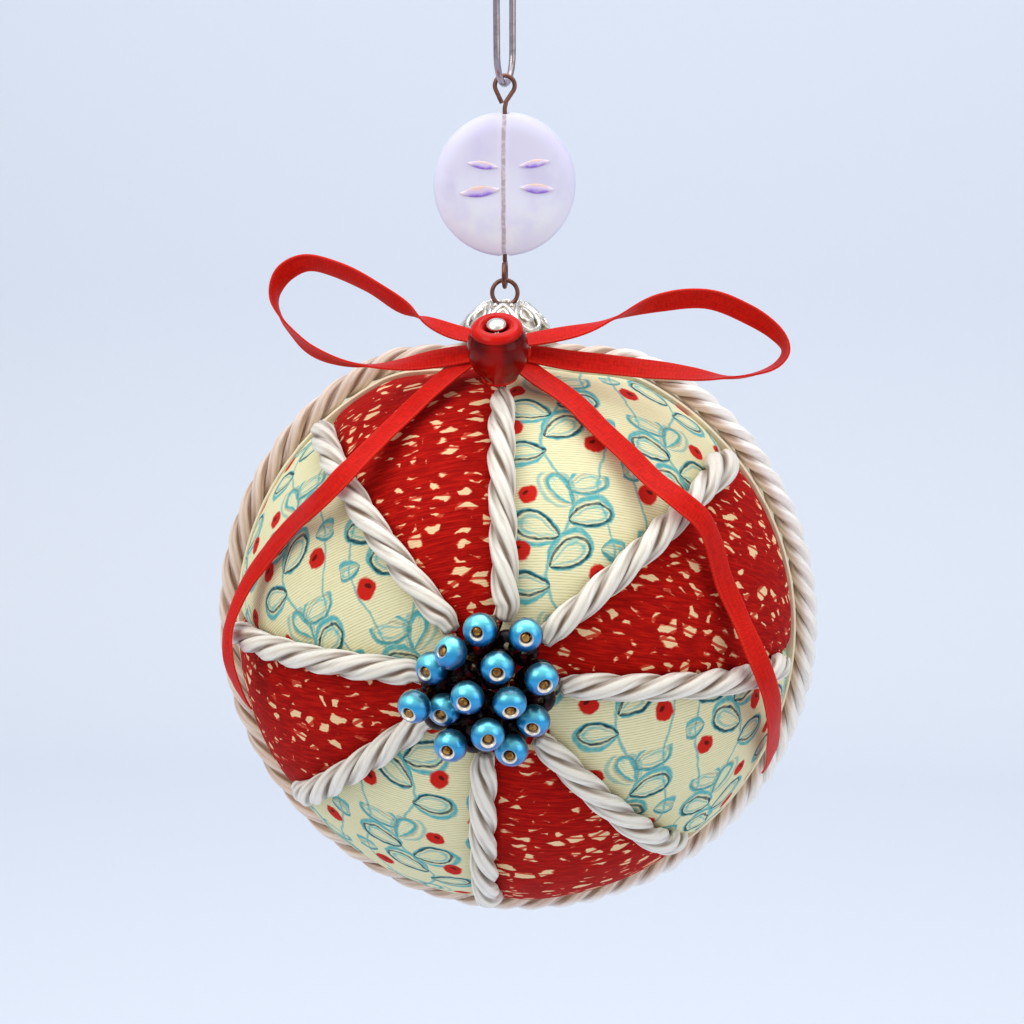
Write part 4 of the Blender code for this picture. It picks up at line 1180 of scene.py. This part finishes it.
def beadCap():
    # the shell behind the ropes takes the darker silver: painted shade
    shell = spunForm(cap["rows"], cap["around"], looks["recess"])
    mean, swing = cap["wave"]
    for vert in shell.data.vertices:
        out = vert.co.xy.length
        if out > cap["petalFrom"] * mm:
            wave = mean + swing * math.cos(cap["petals"] * math.atan2(vert.co.y, vert.co.x))
            vert.co.x, vert.co.y = vert.co.x * wave, vert.co.y * wave
        vert.co += line
    pieces = [shell]
    for shrink, thick in cap["ropes"]:
        spots = []
        for k in range(cap["ropeSteps"]):
            t = 2 * math.pi * k / cap["ropeSteps"]
            out = cap["petalOut"] - cap["petalLong"] * math.cos(t) * shrink
            half = cap["petalWide"] * math.sin(t) * (1.0 - 0.3 * math.cos(t)) * shrink
            height = between(cap["rows"][:6], out) + 0.1     # the first six rows are its outside
            spots.append(line + Vector((out * math.cos(half), out * math.sin(half), height)) * mm)
        pieces.append(turnRound(ropeLoop(spots, thick, looks["silver"]), cap["petals"]))
    for radius, height, count, size in cap["beading"]:
        grain = ballForm(10, size, rings=6)
        bpy.ops.object.mode_set(mode="EDIT")
        bpy.ops.transform.translate(value=line + Vector((radius, 0.0, height)) * mm)
        bpy.ops.object.mode_set(mode="OBJECT")
        bpy.ops.object.shade_smooth()
        grain.data.materials.append(looks["silver"])
        pieces.append(turnRound(grain, count))
    onlySelect(*pieces)
    bpy.ops.object.join()
    finishPiece(shell, "BeadCap", "bead_cap")


beadCap()
print("cap set")


# Wires, drawn by heights above the ball's middle
wires = {
    "thick": 0.55, "ringMid": 41.6, "ringR": 1.58, "ringFoot": 33.3, "ringOpen": -56.0,
    "lowMid": 43.95, "lowR": 1.62, "lowOpen": 124.0,
    "highMid": 67.0, "highR": 1.22, "neck": 64.75, "highSweep": (-28.0, 208.0),
    "hookThick": 0.85, "hookTurn": -10.0, "crookR": 3.8, "topR": 6.0, "topMid": 103.0,
    "shank": (79.0, 100.0), "freeEnd": 83.0, "tipEnd": 95.5, "flare": 0.9, "gap": 0.3,
}


def arc(u, v, radius, start, end, count):
    return [(u + radius * math.cos(math.radians(start + (end - start) * k / count)),
             v + radius * math.sin(math.radians(start + (end - start) * k / count)))
            for k in range(count + 1)]


def bentWire(name, node, spots, thick, material):
    piece = ropeLoop([line + Vector(s) * mm for s in spots], thick / 2, material, closed=False)
    finishPiece(piece, name, node)


def wirePieces():
    w = wires
    ring = [(u, 0.0, v) for u, v in arc(0.0, w["ringMid"], w["ringR"], w["ringOpen"], 270.0, 48)]
    ring += [(0.0, 0.0, w["ringMid"] - w["ringR"] - w["thick"]), (0.0, 0.0, w["ringFoot"])]
    bentWire("BallRing", "ball_ring", ring, w["thick"], looks["copper"])
    low = [(0.0, u, v) for u, v in arc(0.0, w["lowMid"], w["lowR"], w["lowOpen"], 450.0, 48)]
    high = [(u, 0.0, v) for u, v in arc(0.0, w["highMid"], w["highR"], *w["highSweep"], 36)]
    t = w["thick"]
    link = low + [(0.0, 0.0, w["neck"] - 0.9 * t), (0.3 * t, 0.0, w["neck"] + 0.6 * t)] + high
    link += [(-1.1 * t, 0.0, w["neck"] + 1.2 * t), (-0.62 * t, 0.0, w["neck"] + 0.2 * t)]
    bentWire("LinkPin", "link_pin", link, t, looks["copper"])
    crookMid = w["highMid"] + w["highR"] - t / 2 - w["gap"] - w["hookThick"] / 2 + w["crookR"]
    lower = arc(0.0, crookMid, w["crookR"], 180.0, 360.0, 40)
    upper = arc(0.0, w["topMid"], w["topR"], 180.0, 0.0, 40)
    shank = []
    for k in range(25):
        share = k / 24
        height = w["shank"][0] + (w["shank"][1] - w["shank"][0]) * share
        shank.append((w["crookR"] - (w["crookR"] + w["topR"]) * smooth(share), height))
    flare, out = w["flare"], w["crookR"]
    start = [(-out - flare, w["freeEnd"]), (-out - 0.3 * flare, w["freeEnd"] - 3.0)]
    end = [(w["topR"] + 0.3 * flare, w["tipEnd"] + 3.0), (w["topR"] + flare, w["tipEnd"])]
    a = math.radians(w["hookTurn"])
    spots = [(-math.sin(a) * u, math.cos(a) * u, v) for u, v in start + lower + shank + upper + end]
    bentWire("Hook", "hook", spots, w["hookThick"], looks["steel"])


wirePieces()
print("wires bent")


# Coin bead
coin = {"middle": 55.0, "radius": 8.85, "half": 2.4, "turn": 12.0, "boreR": 0.62,
        # wireEdge sets the painted wire line and its shadow, haloEdge the painted halo of light beside it
        "wireEdge": (0.33, 0.17), "haloEdge": (1.1, 0.3), "wingRise": 0.04,
        "wingThick": 0.22, "wingTaper": 0.55,
        "wings": (
            # x, height, half length, half width, tilt
            (-3.0, 2.45, 1.9, 0.5, 8.0), (3.4, 2.6, 2.0, 0.5, -8.0),
            (-3.4, -0.75, 2.5, 0.68, -6.0), (3.7, -0.45, 2.2, 0.62, 4.0),
        )}


def lilacGlass():
    # the faint emission is a painted glow of light through the frosted glass
    look = Look("lilacGlass", Subsurface_Weight=0.6, Subsurface_Radius=(0.004, 0.004, 0.004),
                Coat_Weight=0.08, Coat_Roughness=0.25, Specular_IOR_Level=0.2, Emission_Strength=0.12,
                Emission_Color="#A8B8FF")
    x, y, z = look.parts(look.onObject())
    up = z - (line.z + coin["middle"] * mm)
    out = (x * x + up * up) ** 0.5 / (coin["radius"] * mm)
    cloudy = look.grain(look.onObject(), 220.0, 3.0)
    # lighter below the middle and darker, cloudier lilac above: partly the glass's own tone, partly
    # painted light evening out the light from above
    low = look.step(up, 0.008, -0.008)
    tone = look.mix("#CEC9DA", "#EEF6FF", low)
    tone = tone.over("#C6BDDC", look.step(cloudy, 0.4, 0.68) * (0.6 - low * 0.3))
    # painted rim light in a paler band near the edge, and painted shade at the very edge
    tone = tone.over("#E4E2F6", look.step(out, 0.7, 0.94) * 0.6)
    tone = tone.over("#C8CCE6", look.step(out, 0.94, 1.0) * 0.8)
    # the wire in the bore, painted into the glass as a line with its shadow, and a painted halo of light
    # along it
    strand = look.grain(look.onObject(), 1900.0, 2.0)
    sway = (look.grain(look.place(look.onObject(), (0.0, 0.0, 1.0)), 400.0, 1.0) - 0.5) * 0.0004
    seen = look.step(abs(x + sway), *(w * mm for w in coin["wireEdge"]))
    wire = look.mix("#A28C82", "#CBBEBC", look.step(strand, 0.4, 0.68))
    halo = look.step(abs(x), *(w * mm for w in coin["haloEdge"])) * 0.22
    tone = look.mix(tone.over("#EFE6EE", halo), wire, seen * 0.8)
    return look.done(tone, cloudy * 0.15 + 0.28)


def wingGlass():
    look = Look("wingGlass", Coat_Weight=0.8, Coat_Roughness=0.08)
    shine = look.grain(look.onObject(), 1300.0, 2.0)
    rise = look.painted("rise") + (shine - 0.5) * 1.6
    tone = look.mix("#9A78F4", "#D8CCF6", look.step(rise, -0.9, 0.1))
    tone = tone.over("#EFC8A8", look.step(rise, 0.25, 0.8) * 0.8)
    tone = tone.over("#EFE6F4", look.step(look.painted("tip"), 0.5, 0.9))
    return look.done(tone, shine * 0.2 + 0.12)


looks["lilac"] = lilacGlass()
looks["wing"] = wingGlass()


def coinBead():
    centre = line + Vector((0.0, 0.0, coin["middle"])) * mm
    bead = ballForm(72, coin["radius"])
    bpy.ops.object.mode_set(mode="EDIT")
    bpy.ops.transform.resize(value=(1.0, coin["half"] / coin["radius"], 1.0))
    bpy.ops.object.mode_set(mode="OBJECT")
    bead.data.materials.append(looks["lilac"])
    bpy.ops.object.shade_smooth()
    bpy.ops.mesh.primitive_cylinder_add(vertices=24, radius=coin["boreR"] * mm,
                                        depth=3 * coin["radius"] * mm)
    bore = bpy.context.object
    onlySelect(bead)
    cut = bead.modifiers.new("Bore", "BOOLEAN")
    cut.operation = "DIFFERENCE"
    cut.solver = "EXACT"
    cut.object = bore
    bpy.ops.object.modifier_apply(modifier="Bore")
    bpy.data.objects.remove(bore)
    smoothBelow(50.0)
    pieces = [bead]
    for side in (-1.0, 1.0):
        for x, z, long, wide, tilt in coin["wings"]:
            wing = ballForm(24, 1.0)
            out = math.hypot(x, z) / coin["radius"]
            y = coin["half"] * math.sqrt(1.0 - out * out)
            slope = math.atan2(coin["half"] * out, coin["radius"] * math.sqrt(1.0 - out * out))
            lean = Matrix.Rotation(-side * slope * (1.0 if x > 0 else -1.0), 3, "Z")
            rises, tips = [], []
            for vert in wing.data.vertices:
                p = vert.co / mm
                rises.append(p.z)
                tips.append(abs(p.x))
                point = Vector((p.x * long, p.y * coin["wingThick"],
                                p.z * wide * (1.0 - coin["wingTaper"] * p.x * p.x)))
                point = lean @ (Matrix.Rotation(math.radians(tilt), 3, "Y") @ point)
                vert.co = (point + Vector((x, side * (y + coin["wingRise"]), z))) * mm
            paint(wing, "rise", rises)
            paint(wing, "tip", tips)
            wing.data.materials.append(looks["wing"])
            bpy.ops.object.shade_smooth()
            pieces.append(wing)
    onlySelect(*pieces)
    bpy.ops.object.join()
    turn = Matrix.Rotation(math.radians(coin["turn"]), 3, "Z")
    for vert in bead.data.vertices:
        vert.co = centre + turn @ vert.co
    finishPiece(bead, "CoinBead", "coin_bead", body="coin")


coinBead()
print("coin bead hung")


# Backdrop and light
stage = {"floor": -300.0, "bend": 620.0, "bendR": 160.0, "wallTop": 1400.0, "wide": 2400.0,
         "near": -1600.0}


def addStage():
    look = Look("backdropPaper", Roughness=0.9, Specular_IOR_Level=0.1)
    grain = look.grain(look.onObject(), 900.0, 2.0)
    tone = look.mix("#DCE3F0", "#DAE1EE", look.step(look.parts(look.onObject())[2], -0.30, -0.1))
    paper = look.done(tone.over("#E0E6F0", grain * 0.3))
    profile = [(stage["near"], stage["floor"])]
    for k in range(17):
        a = math.radians(90.0) * k / 16
        profile.append((stage["bend"] + stage["bendR"] * math.sin(a),
                        stage["floor"] + stage["bendR"] * (1 - math.cos(a))))
    profile.append((stage["bend"] + stage["bendR"], stage["wallTop"]))
    points = [Vector((x, y, z)) * mm for y, z in profile for x in (-stage["wide"], stage["wide"])]
    faces = [(2 * k, 2 * k + 1, 2 * k + 3, 2 * k + 2) for k in range(len(profile) - 1)]
    sheet = meshPiece("backdrop", points, faces, paper)
    bpy.ops.object.shade_smooth()


def addLight(name, spot, target, size, power, colour):
    bpy.ops.object.light_add(type="AREA", location=Vector(spot) * mm)
    lamp = bpy.context.object
    lamp.name = name
    lamp.data.size = size * mm
    lamp.data.energy = power
    lamp.data.color = colour
    lamp.rotation_euler = (Vector(target) - Vector(spot)).to_track_quat("-Z", "Y").to_euler()


addStage()
near = (0.0, 0.0, -100.0)        # where three of the softboxes point
addLight("keySoftbox", (-420.0, -520.0, 330.0), near, 420.0, 1.7, (1.0, 0.96, 0.9))
addLight("fillSoftbox", (560.0, -380.0, 40.0), near, 420.0, 0.7, (1.0, 0.99, 0.98))
addLight("topSoftbox", (60.0, 120.0, 520.0), near, 420.0, 1.0, (1.0, 1.0, 1.0))
addLight("wallSoftbox", (0.0, 120.0, 560.0), (0.0, 760.0, -140.0), 900.0, 3.6, (0.9, 0.95, 1.0))
world = bpy.data.worlds.new("paleRoom")
bpy.context.scene.world = world
world.use_nodes = True
world.node_tree.nodes["Background"].inputs["Color"].default_value = tint("#F5F2EC")
world.node_tree.nodes["Background"].inputs["Strength"].default_value = 0.66
bpy.context.scene.view_settings.view_transform = "Standard"
print("stage lit")

bpy.context.view_layer.update()
